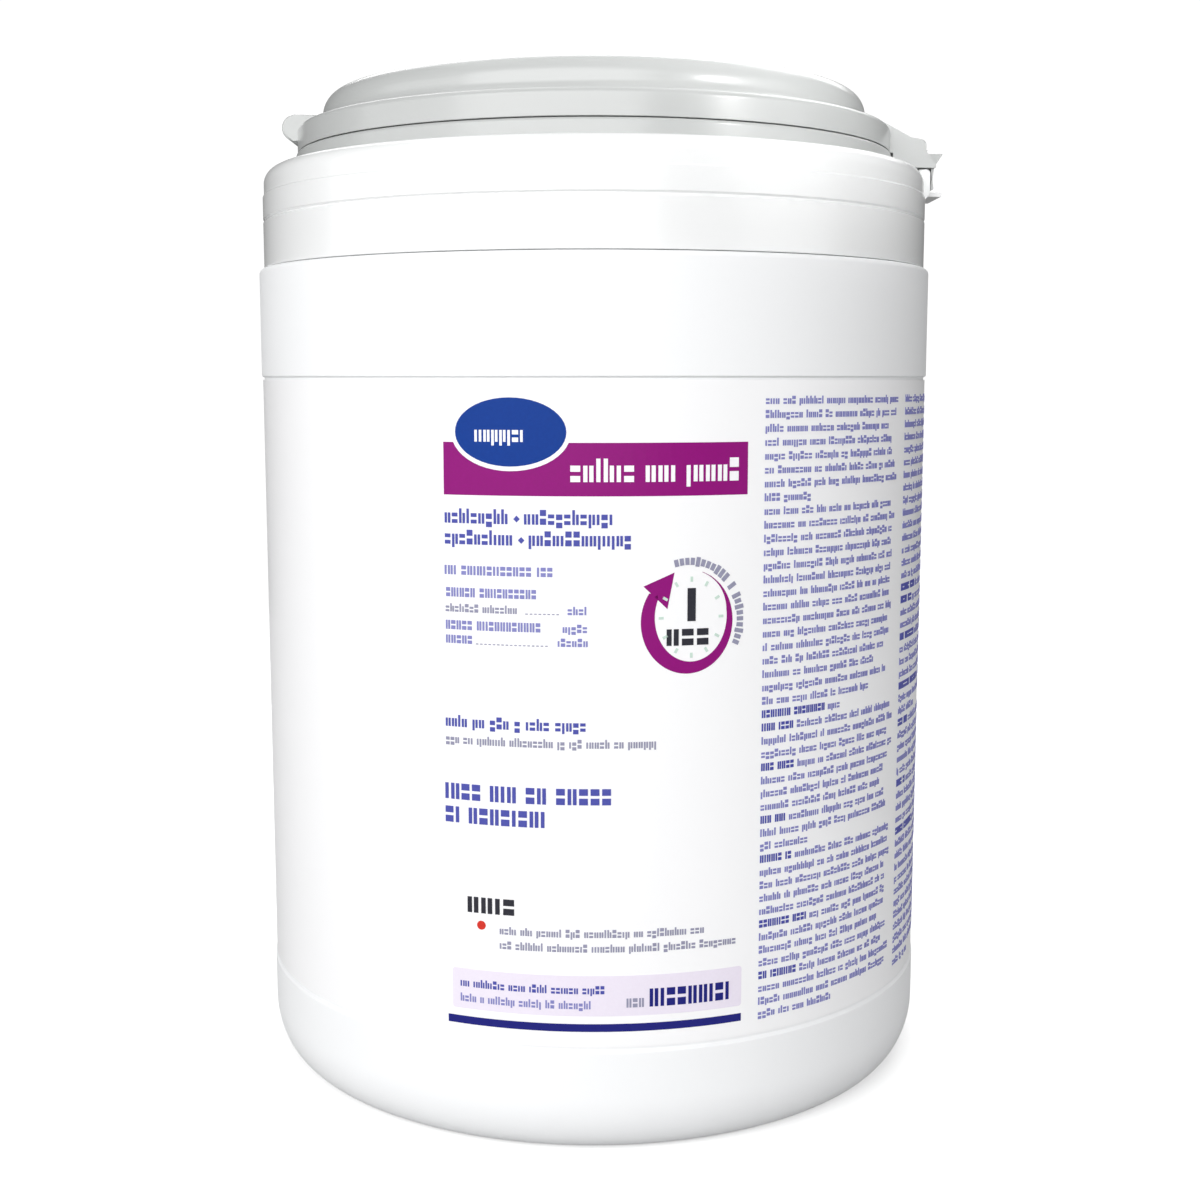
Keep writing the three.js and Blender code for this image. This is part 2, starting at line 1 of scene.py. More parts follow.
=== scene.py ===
"""Looks of the wipes canister: moulded tub, wrap label, roll of wipes, dispensing cap and flip lid.

Sizes in the classes are millimetres in the part's frame: the axis is Z, the front is -Y, the lid's
hinge is at +X and its thumb tab at -X. Meshes are built in metres.
"""

import logging
import math
import random
from dataclasses import dataclass, field
from enum import Enum
from typing import Any, Iterable, Sequence

import bmesh
import bpy
import numpy as np
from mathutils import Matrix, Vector


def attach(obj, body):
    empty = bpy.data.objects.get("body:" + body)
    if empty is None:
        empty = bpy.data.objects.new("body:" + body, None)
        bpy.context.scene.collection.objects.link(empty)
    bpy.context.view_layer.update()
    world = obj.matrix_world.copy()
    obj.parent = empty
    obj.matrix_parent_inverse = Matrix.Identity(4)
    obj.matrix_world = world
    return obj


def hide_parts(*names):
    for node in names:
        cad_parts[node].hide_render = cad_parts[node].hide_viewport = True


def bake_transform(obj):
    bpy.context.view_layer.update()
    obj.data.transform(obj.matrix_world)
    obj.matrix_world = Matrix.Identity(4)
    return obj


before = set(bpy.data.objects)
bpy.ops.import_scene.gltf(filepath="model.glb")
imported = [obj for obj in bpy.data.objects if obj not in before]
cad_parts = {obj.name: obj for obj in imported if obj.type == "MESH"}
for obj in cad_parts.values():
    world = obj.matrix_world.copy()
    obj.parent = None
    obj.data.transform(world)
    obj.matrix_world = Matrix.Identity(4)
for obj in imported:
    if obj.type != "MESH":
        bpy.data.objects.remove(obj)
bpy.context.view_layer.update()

LOG = logging.getLogger("wipes_canister")
MM = 0.001
FACETS = 192
# Most of a noise texture's values lie between these two
NOISE_LOW, NOISE_HIGH = 0.3, 0.7

Point = tuple[float, float]
Corner = tuple[float, float, float]
Place = tuple[float, float, float]
Tree = bpy.types.NodeTree
Socket = bpy.types.NodeSocket
Material = bpy.types.Material
Piece = bpy.types.Object


class Body(Enum):
    """Bodies of the frame that the pieces ride on."""

    CANISTER = "canister"
    CAP = "cap"
    LID = "lid"


class Slot(Enum):
    """Material slots of the record."""

    TUB = "tub_hdpe"
    LABEL = "label_film"
    WIPES = "wet_nonwoven"
    CLOSURE = "closure_pp"


# Colours and nodes


def linear(hex_colour: str) -> tuple[float, float, float, float]:
    """Turns an sRGB hex colour into linear RGBA.

    Args:
        hex_colour: a colour such as "#F4F6F6".

    Returns:
        Red, green, blue and alpha, linear.
    """
    channels = [int(hex_colour[i : i + 2], 16) / 255 for i in (1, 3, 5)]
    red, green, blue = (
        c / 12.92 if c <= 0.04045 else ((c + 0.055) / 1.055) ** 2.4 for c in channels
    )
    return red, green, blue, 1.0


def plug(node: bpy.types.Node, inputs: dict[str | int, Any]) -> None:
    """Gives a node's inputs their values or links.

    Args:
        node: the node.
        inputs: for each input's name or place, a value, or an output socket to link from.
    """
    for key, value in inputs.items():
        if isinstance(value, Socket):
            node.id_data.links.new(value, node.inputs[key])
        else:
            node.inputs[key].default_value = value


def add_node(
    tree: Tree,
    kind: str,
    settings: dict[str, Any] | None = None,
    inputs: dict[str | int, Any] | None = None,
) -> bpy.types.Node:
    """Adds a node with its settings and its inputs' values or links.

    Args:
        tree: the node tree to add to.
        kind: the node's type name.
        settings: the node's own properties.
        inputs: what each input is given, as in plug.

    Returns:
        The new node.
    """
    node = tree.nodes.new(kind)
    for name, value in (settings or {}).items():
        setattr(node, name, value)
    plug(node, inputs or {})
    return node


def blank_material(name: str) -> tuple[Material, Tree, bpy.types.Node, Socket]:
    """Makes a material with only a Principled shader and its output.

    Args:
        name: the material's name.

    Returns:
        The material, its node tree, its shader and Object coordinates.
    """
    material = bpy.data.materials.new(name)
    material.use_nodes = True
    tree = material.node_tree
    tree.nodes.clear()
    shader = add_node(tree, "ShaderNodeBsdfPrincipled")
    add_node(tree, "ShaderNodeOutputMaterial", inputs={"Surface": shader.outputs["BSDF"]})
    return material, tree, shader, add_node(tree, "ShaderNodeTexCoord").outputs["Object"]


def per_mm(size: float) -> float:
    """Noise scale on Object coordinates in metres for features of a size in millimetres."""
    return 1 / (size * MM)


# Finishes


@dataclass(frozen=True)
class MouldedPlastic:
    """White moulded plastic: faint orange peel from the mould, slow flow marks in the gloss.

    A blow-moulded tub also has the mould's parting line in the plane Y = 0, up both sides and
    across the base, which seam_width and seam_depth give.
    """

    name: str
    colour: str
    shade: str
    roughness: float
    peel_size: float
    peel_depth: float
    flow_size: float = 38.0
    seam_width: float = 0.5
    seam_depth: float = 0.0
    specular: float = 0.5
    coat: float = 0.0
    gloss_spread: float = 0.015
    ior: float = 1.5

    def make(self) -> Material:
        """Builds the material.

        Returns:
            The material.
        """
        material, tree, shader, place = blank_material(self.name)
        flow = add_node(
            tree,
            "ShaderNodeTexNoise",
            inputs={"Vector": place, "Scale": per_mm(self.flow_size), "Detail": 0.0},
        )
        tint = add_node(
            tree,
            "ShaderNodeMix",
            {"data_type": "RGBA"},
            {"Factor": flow.outputs["Fac"], "A": linear(self.colour), "B": linear(self.shade)},
        )
        gloss = add_node(
            tree,
            "ShaderNodeMapRange",
            inputs={
                "Value": flow.outputs["Fac"],
                "From Min": NOISE_LOW,
                "From Max": NOISE_HIGH,
                "To Min": self.roughness - self.gloss_spread,
                "To Max": self.roughness + self.gloss_spread,
            },
        )
        peel = add_node(
            tree,
            "ShaderNodeTexNoise",
            inputs={"Vector": place, "Scale": per_mm(self.peel_size), "Detail": 1.0},
        )
        bump = add_node(
            tree,
            "ShaderNodeBump",
            inputs={
                "Height": peel.outputs["Fac"], "Strength": 1.0, "Distance": self.peel_depth * MM
            },
        )
        normal = bump.outputs["Normal"]
        if self.seam_depth > 0:
            normal = self._parting_line(tree, place, normal)
        plug(
            shader,
            {
                "Base Color": tint.outputs["Result"],
                "Roughness": gloss.outputs["Result"],
                "Normal": normal,
                "IOR": self.ior,
                "Specular IOR Level": self.specular,
                "Coat Weight": self.coat,
                "Coat Roughness": self.roughness / 2,
            },
        )
        return material

    def _parting_line(self, tree: Tree, place: Socket, under: Socket) -> Socket:
        """Adds the mould's parting line to the bump.

        Args:
            tree: the material's node tree.
            place: Object coordinates.
            under: the normal that the line is added to.

        Returns:
            The normal with the line in it.
        """
        axes = add_node(tree, "ShaderNodeSeparateXYZ", inputs={0: place})
        off = add_node(tree, "ShaderNodeMath", {"operation": "ABSOLUTE"}, {0: axes.outputs["Y"]})
        ridge = add_node(
            tree,
            "ShaderNodeMapRange",
            {"interpolation_type": "SMOOTHSTEP"},
            {
                "Value": off.outputs[0],
                "From Min": 0.0,
                "From Max": self.seam_width * MM / 2,
                "To Min": 1.0,
                "To Max": 0.0,
            },
        )
        bump = add_node(
            tree,
            "ShaderNodeBump",
            inputs={
                "Height": ridge.outputs["Result"],
                "Strength": 1.0,
                "Distance": self.seam_depth * MM,
                "Normal": under,
            },
        )
        return bump.outputs["Normal"]


@dataclass(frozen=True)
class LabelFilm:
    """White polypropylene film: an even gloss, and slow ripples where it was wound on.

    The ripples run up the label: ripple_stretch is their pitch round it over their length.
    """

    name: str
    colour: str
    roughness: float = 0.32
    gloss_spread: float = 0.04
    ripple_size: float = 17.0
    ripple_depth: float = 0.05
    ripple_stretch: float = 0.35
    ior: float = 1.49
    specular: float = 0.3

    def make(self) -> Material:
        """Builds the material.

        Returns:
            The material.
        """
        material, tree, shader, place = blank_material(self.name)
        stretch = add_node(
            tree,
            "ShaderNodeMapping",
            inputs={"Vector": place, "Scale": (1, 1, self.ripple_stretch)},
        )
        ripple = add_node(
            tree,
            "ShaderNodeTexNoise",
            inputs={"Vector": stretch.outputs[0], "Scale": per_mm(self.ripple_size), "Detail": 1.5},
        )
        bump = add_node(
            tree,
            "ShaderNodeBump",
            inputs={
                "Height": ripple.outputs["Fac"], "Strength": 1.0, "Distance": self.ripple_depth * MM
            },
        )
        gloss = add_node(
            tree,
            "ShaderNodeMapRange",
            inputs={
                "Value": ripple.outputs["Fac"],
                "To Min": self.roughness - self.gloss_spread,
                "To Max": self.roughness + self.gloss_spread,
            },
        )
        plug(
            shader,
            {
                "Base Color": linear(self.colour),
                "Roughness": gloss.outputs["Result"],
                "Normal": bump.outputs["Normal"],
                "IOR": self.ior,
                "Specular IOR Level": self.specular,
            },
        )
        return material


@dataclass(frozen=True)
class PrintingInk:
    """Flexographic ink on film: one colour with a fine unevenness from the plate."""

    name: str
    colour: str
    speckle: str
    grain_size: float = 0.5
    roughness: float = 0.36
    ior: float = 1.49
    specular: float = 0.15

    def make(self) -> Material:
        """Builds the material.

        Returns:
            The material.
        """
        material, tree, shader, place = blank_material(self.name)
        grain = add_node(
            tree,
            "ShaderNodeTexNoise",
            inputs={"Vector": place, "Scale": per_mm(self.grain_size), "Detail": 2.0},
        )
        tint = add_node(
            tree,
            "ShaderNodeMix",
            {"data_type": "RGBA"},
            {"Factor": grain.outputs["Fac"], "A": linear(self.colour), "B": linear(self.speckle)},
        )
        plug(
            shader,
            {
                "Base Color": tint.outputs["Result"],
                "Roughness": self.roughness,
                "IOR": self.ior,
                "Specular IOR Level": self.specular,
            },
        )
        return material


@dataclass(frozen=True)
class DampNonwoven:
    """Damp hydroentangled nonwoven: tangled fibres, rows of small apertures, a wet sheen, and
    painted shade in the apertures and between the fibres.

    The real fibres are about 0.02 mm thick; they are drawn as strands of 0.25 mm so that they show.
    """

    name: str
    colour: str
    shadow: str
    fibre_size: float = 0.25
    aperture_pitch: float = 1.3
    fibre_depth: float = 0.06
    roughness: float = 0.62
    sheen: float = 0.2

    def make(self) -> Material:
        """Builds the material.

        Returns:
            The material.
        """
        material, tree, shader, place = blank_material(self.name)
        fibres = add_node(
            tree,
            "ShaderNodeTexNoise",
            inputs={
                "Vector": place,
                "Scale": per_mm(self.fibre_size * 4),
                "Detail": 4.0,
                "Distortion": 2.5,
            },
        )
        holes = add_node(
            tree,
            "ShaderNodeTexVoronoi",
            {"feature": "F1"},
            {"Vector": place, "Scale": per_mm(self.aperture_pitch), "Randomness": 0.35},
        )
        open_web = add_node(
            tree,
            "ShaderNodeMapRange",
            inputs={"Value": holes.outputs["Distance"], "From Min": 0.05, "From Max": 0.45},
        )
        web = add_node(
            tree,
            "ShaderNodeMath",
            {"operation": "MULTIPLY"},
            {0: fibres.outputs["Fac"], 1: open_web.outputs["Result"]},
        )
        # Painted shade: the apertures and the gaps between the fibres turn towards the shadow
        # colour
        tint = add_node(
            tree,
            "ShaderNodeMix",
            {"data_type": "RGBA"},
            {"Factor": web.outputs[0], "A": linear(self.shadow), "B": linear(self.colour)},
        )
        bump = add_node(
            tree,
            "ShaderNodeBump",
            inputs={"Height": web.outputs[0], "Strength": 1.0, "Distance": self.fibre_depth * MM},
        )
        plug(
            shader,
            {
                "Base Color": tint.outputs["Result"],
                "Normal": bump.outputs["Normal"],
                "Roughness": self.roughness,
                "Sheen Weight": self.sheen,
            },
        )
        return material


@dataclass(frozen=True)
class LightTable:
    """Opal acrylic of a light table, matt and lit from below.

    The camera sees it white, and its bounce on the canister is darker.
    """

    name: str
    colour: str
    bounce: str
    glow: float
    frosting_size: float = 3.0
    frosting_depth: float = 0.02
    roughness: float = 0.9

    def make(self) -> Material:
        """Builds the material.

        Returns:
            The material.
        """
        material, tree, shader, place = blank_material(self.name)
        frosting = add_node(
            tree,
            "ShaderNodeTexNoise",
            inputs={"Vector": place, "Scale": per_mm(self.frosting_size)},
        )
        bump = add_node(
            tree,
            "ShaderNodeBump",
            inputs={
                "Height": frosting.outputs["Fac"],
                "Strength": 0.2,
                "Distance": self.frosting_depth * MM,
            },
        )
        seen = add_node(tree, "ShaderNodeLightPath").outputs["Is Camera Ray"]
        shade = add_node(
            tree,
            "ShaderNodeMix",
            {"data_type": "RGBA"},
            {"Factor": seen, "A": linear(self.bounce), "B": linear(self.colour)},
        )
        glow = add_node(tree, "ShaderNodeMath", {"operation": "MULTIPLY"}, {0: seen, 1: self.glow})
        plug(
            shader,
            {
                "Base Color": shade.outputs["Result"],
                "Normal": bump.outputs["Normal"],
                "Emission Strength": glow.outputs[0],
                "Emission Color": (1.0, 1.0, 1.0, 1.0),
                "Roughness": self.roughness,
                "Specular IOR Level": 0.0,
            },
        )
        return material


# Blow-moulded polyethylene is milky and satin: highlights lie wide and soft on it
TUB_PLASTIC = MouldedPlastic(
    "HDPE_blow_moulded_white", "#F9FAFB", "#F6F7F8", 0.46, 1.8, 0.012, seam_depth=0.07, specular=0.3
)
# Injection-moulded polypropylene is smoother: narrower highlights with clear edges
CAP_PLASTIC = MouldedPlastic(
    "PP_injection_moulded_white", "#F6F7F7", "#F3F4F4", 0.31, 1.1, 0.006, 26.0, coat=0.8
)
# The same plastic as the cap, made grey as painted shade: the lid and its seat ring stand out
# darker from the cap
CAP_PLASTIC_PAINTED_SHADE = MouldedPlastic(
    "PP_injection_moulded_painted_shade", "#C0C2C1", "#BDBFBE", 0.34, 1.1, 0.006, 22.0, coat=0.6
)
# Oriented polypropylene film is the brightest white, with an even gloss that follows the tub
FILM = LabelFilm("BOPP_film_gloss_white", "#FBFBFC")
# Spunlace cloth is soft and matt, and the liquid in it gives it a faint sheen; painted shade
# darkens its hollows
WIPE_CLOTH = DampNonwoven("Spunlace_nonwoven_damp", "#F6F6F3", "#D9DBD7")


class Ink(Enum):
    """Inks of the label's print."""

    MAGENTA = PrintingInk("Ink_magenta", "#93107B", "#8A1473")
    BLUE = PrintingInk("Ink_blue", "#0A3D95", "#093788")
    WHITE = PrintingInk("Ink_white", "#FDFDFE", "#F4F4F8")
    LAVENDER = PrintingInk("Ink_lavender", "#EFE8F5", "#EAE2F0")
    NAVY = PrintingInk("Ink_navy", "#24267E", "#202272")
    VIOLET = PrintingInk("Ink_violet", "#4A4FA3", "#565AAB")
    LILAC = PrintingInk("Ink_lilac", "#7F80BC", "#8E8FC6")
    GREY = PrintingInk("Ink_grey", "#8F8FA6", "#9C9CB2")
    BLACK = PrintingInk("Ink_black", "#2C2C34", "#383840")
    RED = PrintingInk("Ink_red", "#D93A2F", "#C8352B")
    MINT = PrintingInk("Ink_mint", "#CFE3D8", "#C5DACE")


def material_of(finish: Any) -> Material:
    """Gives a finish's material, made once."""
    return bpy.data.materials.get(finish.name) or finish.make()


# Outlines and meshes


def rounded(corners: Sequence[Corner]) -> list[Point]:
    """Replaces each corner of a closed outline that has a fillet radius with an arc.

    Args:
        corners: (across, up, fillet radius) for each corner, in order round the outline.

    Returns:
        The outline's points.
    """
    points: list[Point] = []
    for i, (across, up, fillet) in enumerate(corners):
        if fillet <= 0:
            points.append((across, up))
            continue
        here = Vector((across, up))
        back = Vector(corners[i - 1][:2]) - here
        ahead = Vector(corners[(i + 1) % len(corners)][:2]) - here
        half = back.angle(ahead) / 2
        cut = min(fillet / math.tan(half), 0.48 * back.length, 0.48 * ahead.length)
        radius = cut * math.tan(half)
        centre = here + (
            back.normalized() + ahead.normalized()
        ).normalized() * (radius / math.sin(half))
        start = here + back.normalized() * cut - centre
        end = here + ahead.normalized() * cut - centre
        first = math.atan2(start.y, start.x)
        turn = (math.atan2(end.y, end.x) - first + math.pi) % math.tau - math.pi
        steps = max(2, math.ceil(abs(turn) / math.radians(14)))
        for k in range(steps + 1):
            angle = first + turn * k / steps
            points.append(
                (centre.x + radius * math.cos(angle), centre.y + radius * math.sin(angle))
            )
    return points


def quarter(
    centre: Point, run: float, rise: float, start: float, end: float, steps: int = 14
) -> list[Corner]:
    """Corners along part of an ellipse.

    Args:
        centre: the ellipse's centre.
        run: half its width.
        rise: half its height.
        start: first angle in degrees, from across to up.
        end: last angle in degrees.
        steps: how many straight runs it has.

    Returns:
        Corners without fillets.
    """
    angles = [math.radians(start + (end - start) * k / steps) for k in range(steps + 1)]
    return [(centre[0] + run * math.cos(a), centre[1] + rise * math.sin(a), 0.0) for a in angles]


def new_object(name: str, shape: bmesh.types.BMesh) -> Piece:
    """Makes an object of a bmesh, which it frees.

    Args:
        name: the object's name.
        shape: the bmesh, in metres.

    Returns:
        The object.
    """
    mesh = bpy.data.meshes.new(name)
    shape.to_mesh(mesh)
    shape.free()
    made = bpy.data.objects.new(name, mesh)
    bpy.context.scene.collection.objects.link(made)
    return made


def turned(name: str, outline: Sequence[Point]) -> Piece:
    """Turns a closed outline about the Z axis into a closed mesh.

    Args:
        name: the object's name.
        outline: (radius, height) anticlockwise, radius to the right. A point on the axis is a pole.

    Returns:
        The object.
    """
    shape = bmesh.new()
    steps = [math.tau * k / FACETS for k in range(FACETS)]
    rings = []
    for radius, height in outline:
        spots = [0.0] if radius < 1e-6 else steps
        rings.append(
            [
                shape.verts.new((radius * math.cos(a) * MM, radius * math.sin(a) * MM, height * MM))
                for a in spots
            ]
        )
    for ring, following in zip(rings, rings[1:] + rings[:1]):
        if len(ring) == len(following) == 1:
            continue
        for k in range(FACETS):
            j = (k + 1) % FACETS
            around = [
                ring[k % len(ring)],
                ring[j % len(ring)],
                following[j % len(following)],
                following[k % len(following)],
            ]
            shape.faces.new(list(dict.fromkeys(around)))
    return new_object(name, shape)


def slab(name: str, outline: Sequence[Point], half_width: float, edge: float = 0.25) -> Piece:
    """Extrudes an outline in the XZ plane to both sides of Y = 0 and rounds the rims of its ends.

    Args:
        name: the object's name.
        outline: (x, z) points.
        half_width: reach to each side.
        edge: radius of the edges of the two flat faces.

    Returns:
        The object.
    """
    shape = bmesh.new()
    near = [shape.verts.new((x * MM, -half_width * MM, z * MM)) for x, z in outline]
    far = [shape.verts.new((x * MM, half_width * MM, z * MM)) for x, z in outline]
    ends = [shape.faces.new(near), shape.faces.new(far)]
    for i in range(len(outline)):
        j = (i + 1) % len(outline)
        shape.faces.new((near[i], near[j], far[j], far[i]))
    rims = [e for face in ends for e in face.edges]
    bmesh.ops.bevel(
        shape,
        geom=rims,
        offset=edge * MM,
        segments=3,
        profile=0.5,
        affect="EDGES",
        clamp_overlap=True,
    )
    bmesh.ops.remove_doubles(shape, verts=shape.verts, dist=1e-7)
    bmesh.ops.recalc_face_normals(shape, faces=shape.faces)
    return new_object(name, shape)


def settled(piece: Piece) -> Piece:
    """Applies a piece's modifiers to its mesh.

    Args:
        piece: the object.

    Returns:
        The same object, without modifiers.
    """
    bpy.context.view_layer.update()
    seen = piece.evaluated_get(bpy.context.evaluated_depsgraph_get())
    mesh = bpy.data.meshes.new_from_object(seen)
    mesh.name = piece.name
    piece.modifiers.clear()
    piece.data = mesh
    return piece


def combined(base: Piece, other: Piece, operation: str) -> Piece:
    """Joins or carves one closed piece with another, which is used up.

    Args:
        base: the piece that stays.
        other: the piece that is added or taken away.
        operation: "UNION", "DIFFERENCE" or "INTERSECT".

    Returns:
        The base.
    """
    step = base.modifiers.new("shape", "BOOLEAN")
    step.operation = operation
    step.solver = "EXACT"
    step.object = other
    settled(base)
    bpy.data.objects.remove(other)
    return base


def smoothed(piece: Piece, sharp_above: float = 34.0) -> Piece:
    """Shades a piece smooth across its fillets and flat on its flats.

    Args:
        piece: the object.
        sharp_above: the angle in degrees above which an edge stays sharp.

    Returns:
        The same object.
    """
    mesh = piece.data
    mesh.polygons.foreach_set("use_smooth", [True] * len(mesh.polygons))
    mesh.set_sharp_from_angle(angle=math.radians(sharp_above))
    weights = piece.modifiers.new("shading", "WEIGHTED_NORMAL")
    weights.keep_sharp = True
    weights.weight = 50
    return settled(piece)


def placed(
    piece: Piece, finish: Any, body: Body | None, nodes: Iterable[str] = ()
) -> Piece:
    """Gives a finished piece its material, the nodes that it stands for and its body.

    Args:
        piece: the object, final in shape.
        finish: its finish.
        body: the body that it rides on, or None for no body.
        nodes: the solids that it replaces.

    Returns:
        The same object.
    """
    piece.data.materials.clear()
    piece.data.materials.append(material_of(finish))
    if nodes:
        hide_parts(*nodes)
    if body is not None:
        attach(piece, body.value)
    LOG.info("%s: %d faces, %s", piece.name, len(piece.data.polygons), finish.name)
    return piece


# Pieces


@dataclass
class Tub:
    """Blow-moulded tub: base with a standing ring, two bands, label recess, shoulder and neck."""

    band_radius: float = 61.2
    recess_radius: float = 60.75
    wall: float = 1.4
    panel_bottom: float = 18.5
    panel_top: float = 125.5
    shoulder: float = 144.7
    neck_radius: float = 57.9
    neck_wall: float = 1.3
    neck_top: float = 159.5
    bead_radius: float = 58.45
    bead_low: float = 150.2
    bead_high: float = 152.4
    push_up: float = 1.2
    floor_top: float = 2.6
    ring_inner: float = 48.5
    ring_outer: float = 54.7
    corner_rise: float = 10.0

    def outline(self) -> list[Point]:
        """Gives the wall's closed outline, outside first.

        Returns:
            Its (radius, height) points.
        """
        band, recess, neck = self.band_radius, self.recess_radius, self.neck_radius
        run = band - self.ring_outer
        bead = self.bead_radius - neck
        low, high = self.bead_low, self.bead_high
        inner_neck = neck - self.neck_wall
        inner_band = band - self.wall
        inner_recess = recess - self.wall
        under = self.shoulder - self.wall
        outside = [
            (0.0, self.push_up, 0.0),
            (self.ring_inner - 3, self.push_up, 1.6),
            (self.ring_inner, 0.0, 0.8),
            *quarter((self.ring_outer, self.corner_rise), run, self.corner_rise, -90, 0, 20),
            (band, self.panel_bottom - 0.5, 0.25),
            (recess, self.panel_bottom, 0.2),
            (recess, self.panel_top, 0.2),
            (band, self.panel_top + 0.25, 0.2),
            (band, self.shoulder, 0.9),
            (neck, self.shoulder, 0.5),
            (neck, low, 0.25),
            (self.bead_radius, low + bead, 0.3),
            (self.bead_radius, high - bead, 0.3),
            (neck, high, 0.25),
            (neck, self.neck_top, 0.4),
        ]
        inside = [
            (inner_neck, self.neck_top, 0.4),
            (inner_neck, under, 1.0),
            (inner_band - 0.9, under - 0.9, 0.9),
            (inner_band, under - 1.8, 0.9),
            (inner_band, self.panel_top, 0.4),
            (inner_recess, self.panel_top - 0.5, 0.4),
            (inner_recess, self.panel_bottom + 0.5, 0.4),
            (inner_band, self.panel_bottom - 0.5, 0.4),
            *quarter(
                (self.ring_outer, self.corner_rise),
                run - self.wall,
                self.corner_rise - self.wall,
                0,
                -90,
                14,
            ),
            (self.ring_inner, self.wall, 0.8),
            (self.ring_inner - 3, self.floor_top, 1.6),
            (0.0, self.floor_top, 0.0),
        ]
        return rounded([*outside, *inside])

    def build(self) -> Piece:
        """Builds and dresses the tub."""
        tub = smoothed(turned("tub", self.outline()))
        return placed(tub, TUB_PLASTIC, Body.CANISTER, ["canister_body"])


@dataclass
class WrapLabel:
    """Film sleeve round the tub, closed by a lap at the back."""

    radius: float = 61.0
    thickness: float = 0.1
    bottom: float = 18.95
    top: float = 125.1
    lap_width: float = 9.0
    lap_rise: float = 0.08

    def build(self) -> Piece:
        """Builds and dresses the label.

        Returns:
            The label, with its lap.
        """
        inner = self.radius - self.thickness
        outline = [
            (inner, self.bottom, 0.0),
            (self.radius, self.bottom, 0.04),
            (self.radius, self.top, 0.04),
            (inner, self.top, 0.0),
        ]
        label = turned("label_film", rounded(outline))
        start, steps = math.pi * self.radius - self.lap_width / 2, 12
        lap = [start + self.lap_width * k / steps for k in range(steps + 1)]
        edges = [(a, self.bottom) for a in lap] + [(a, self.top) for a in reversed(lap)]
        label = joined(
            [label, wrapped_shape("label_lap", [edges], self.radius, 0.0, self.lap_rise)]
        )
        return placed(smoothed(label), FILM, Body.CANISTER, ["wrap_label"])


def joined(pieces: Sequence[Piece]) -> Piece:
    """Puts several pieces' meshes into the first one's.

    Args:
        pieces: the objects; all but the first are used up.

    Returns:
        The first object.
    """
    shape = bmesh.new()
    for piece in pieces:
        shape.from_mesh(piece.data)
    shape.to_mesh(pieces[0].data)
    shape.free()
    for piece in pieces[1:]:
        bpy.data.objects.remove(piece)
    return pieces[0]


def wrapped_shape(
    name: str, outlines: Sequence[Sequence[Point]], radius: float, low: float, high: float
) -> Piece:
    """Lays flat shapes on the label's cylinder as thin closed plates.

    Args:
        name: the object's name.
        outlines: for each plate its corners, (distance round the cylinder from the front, height).
        radius: the cylinder's radius.
        low: the plates' underside, above the cylinder.
        high: their upper side.

    Returns:
        The object.
    """
    shape = bmesh.new()
    for outline in outlines:
        corners = [shape.verts.new((across, up, 0.0)) for across, up in outline]
        face = shape.faces.new(corners)
        face.normal_update()
        if face.normal.z < 0:
            face.normal_flip()
    bmesh.ops.triangulate(shape, faces=shape.faces, ngon_method="EAR_CLIP")
    across = [v.co.x for v in shape.verts]
    step = 2.0
    for k in range(math.ceil(min(across) / step), math.floor(max(across) / step) + 1):
        geometry = [*shape.verts, *shape.edges, *shape.faces]
        bmesh.ops.bisect_plane(
            shape, geom=geometry, dist=1e-5, plane_co=(k * step, 0, 0), plane_no=(1, 0, 0)
        )
    shape.verts.index_update()
    flat = [v.co.copy() for v in shape.verts]
    faces = [[v.index for v in f.verts] for f in shape.faces]
    rims = [
        (edge.link_loops[0].vert.index, edge.link_loops[0].link_loop_next.vert.index)
        for edge in shape.edges
        if len(edge.link_faces) == 1
    ]
    shape.free()

    def on_cylinder(spot: Vector, above: float) -> Place:
        """Place of a flat point on the cylinder, in metres."""
        angle, reach = spot.x / radius, (radius + above) * MM
        return reach * math.sin(angle), -reach * math.cos(angle), spot.y * MM

    solid = bmesh.new()
    under = [solid.verts.new(on_cylinder(spot, low)) for spot in flat]
    over = [solid.verts.new(on_cylinder(spot, high)) for spot in flat]
    for face in faces:
        solid.faces.new([over[i] for i in face])
        solid.faces.new([under[i] for i in reversed(face)])
    for a, b in rims:
        solid.faces.new((under[a], under[b], over[b], over[a]))
    return new_object(name, solid)


def blank_tree(name: str, inputs: dict[str, str]) -> tuple[Tree, Any]:
    """Starts a geometry node tree with named inputs.

    Args:
        name: the tree's name.
        inputs: for each input's name its kind of value.

    Returns:
        The tree and its inputs' sockets.
    """
    tree = bpy.data.node_groups.new(name, "GeometryNodeTree")
    tree.interface.new_socket("Geometry", in_out="OUTPUT", socket_type="NodeSocketGeometry")
    for key, kind in inputs.items():
        tree.interface.new_socket(key, in_out="INPUT", socket_type=f"NodeSocket{kind}")
    return tree, add_node(tree, "NodeGroupInput").outputs


def end_tree(tree: Tree, given: Any, shape: Socket) -> Tree:
    """Ends a geometry node tree by setting its material.

    Args:
        tree: the tree.
        given: its inputs' sockets.
        shape: the finished geometry.

    Returns:
        The same tree.
    """
    inked = add_node(
        tree, "GeometryNodeSetMaterial", inputs={"Geometry": shape, "Material": given["Material"]}
    )
    add_node(tree, "NodeGroupOutput", inputs={0: inked.outputs[0]})
    return tree


@dataclass(frozen=True)
class Letter:
    """One letter's block: place round the label and up it, width, height and turn in radians."""

    along: float
    up: float
    wide: float
    tall: float
    turn: float = 0.0


@dataclass(frozen=True)
class TextLine:
    """One line of words: where it starts, its sizes, and how many letters each word has.

    The azimuth is in degrees, size is the capitals' height, and pitch is the mean distance from
    letter to letter. A word of 0 letters stands for a stop between words, and capitals makes every
    letter full height.
    """

    ink: Ink
    azimuth: float
    base: float
    size: float
    pitch: float
    words: tuple[int, ...]
    capitals: bool = False


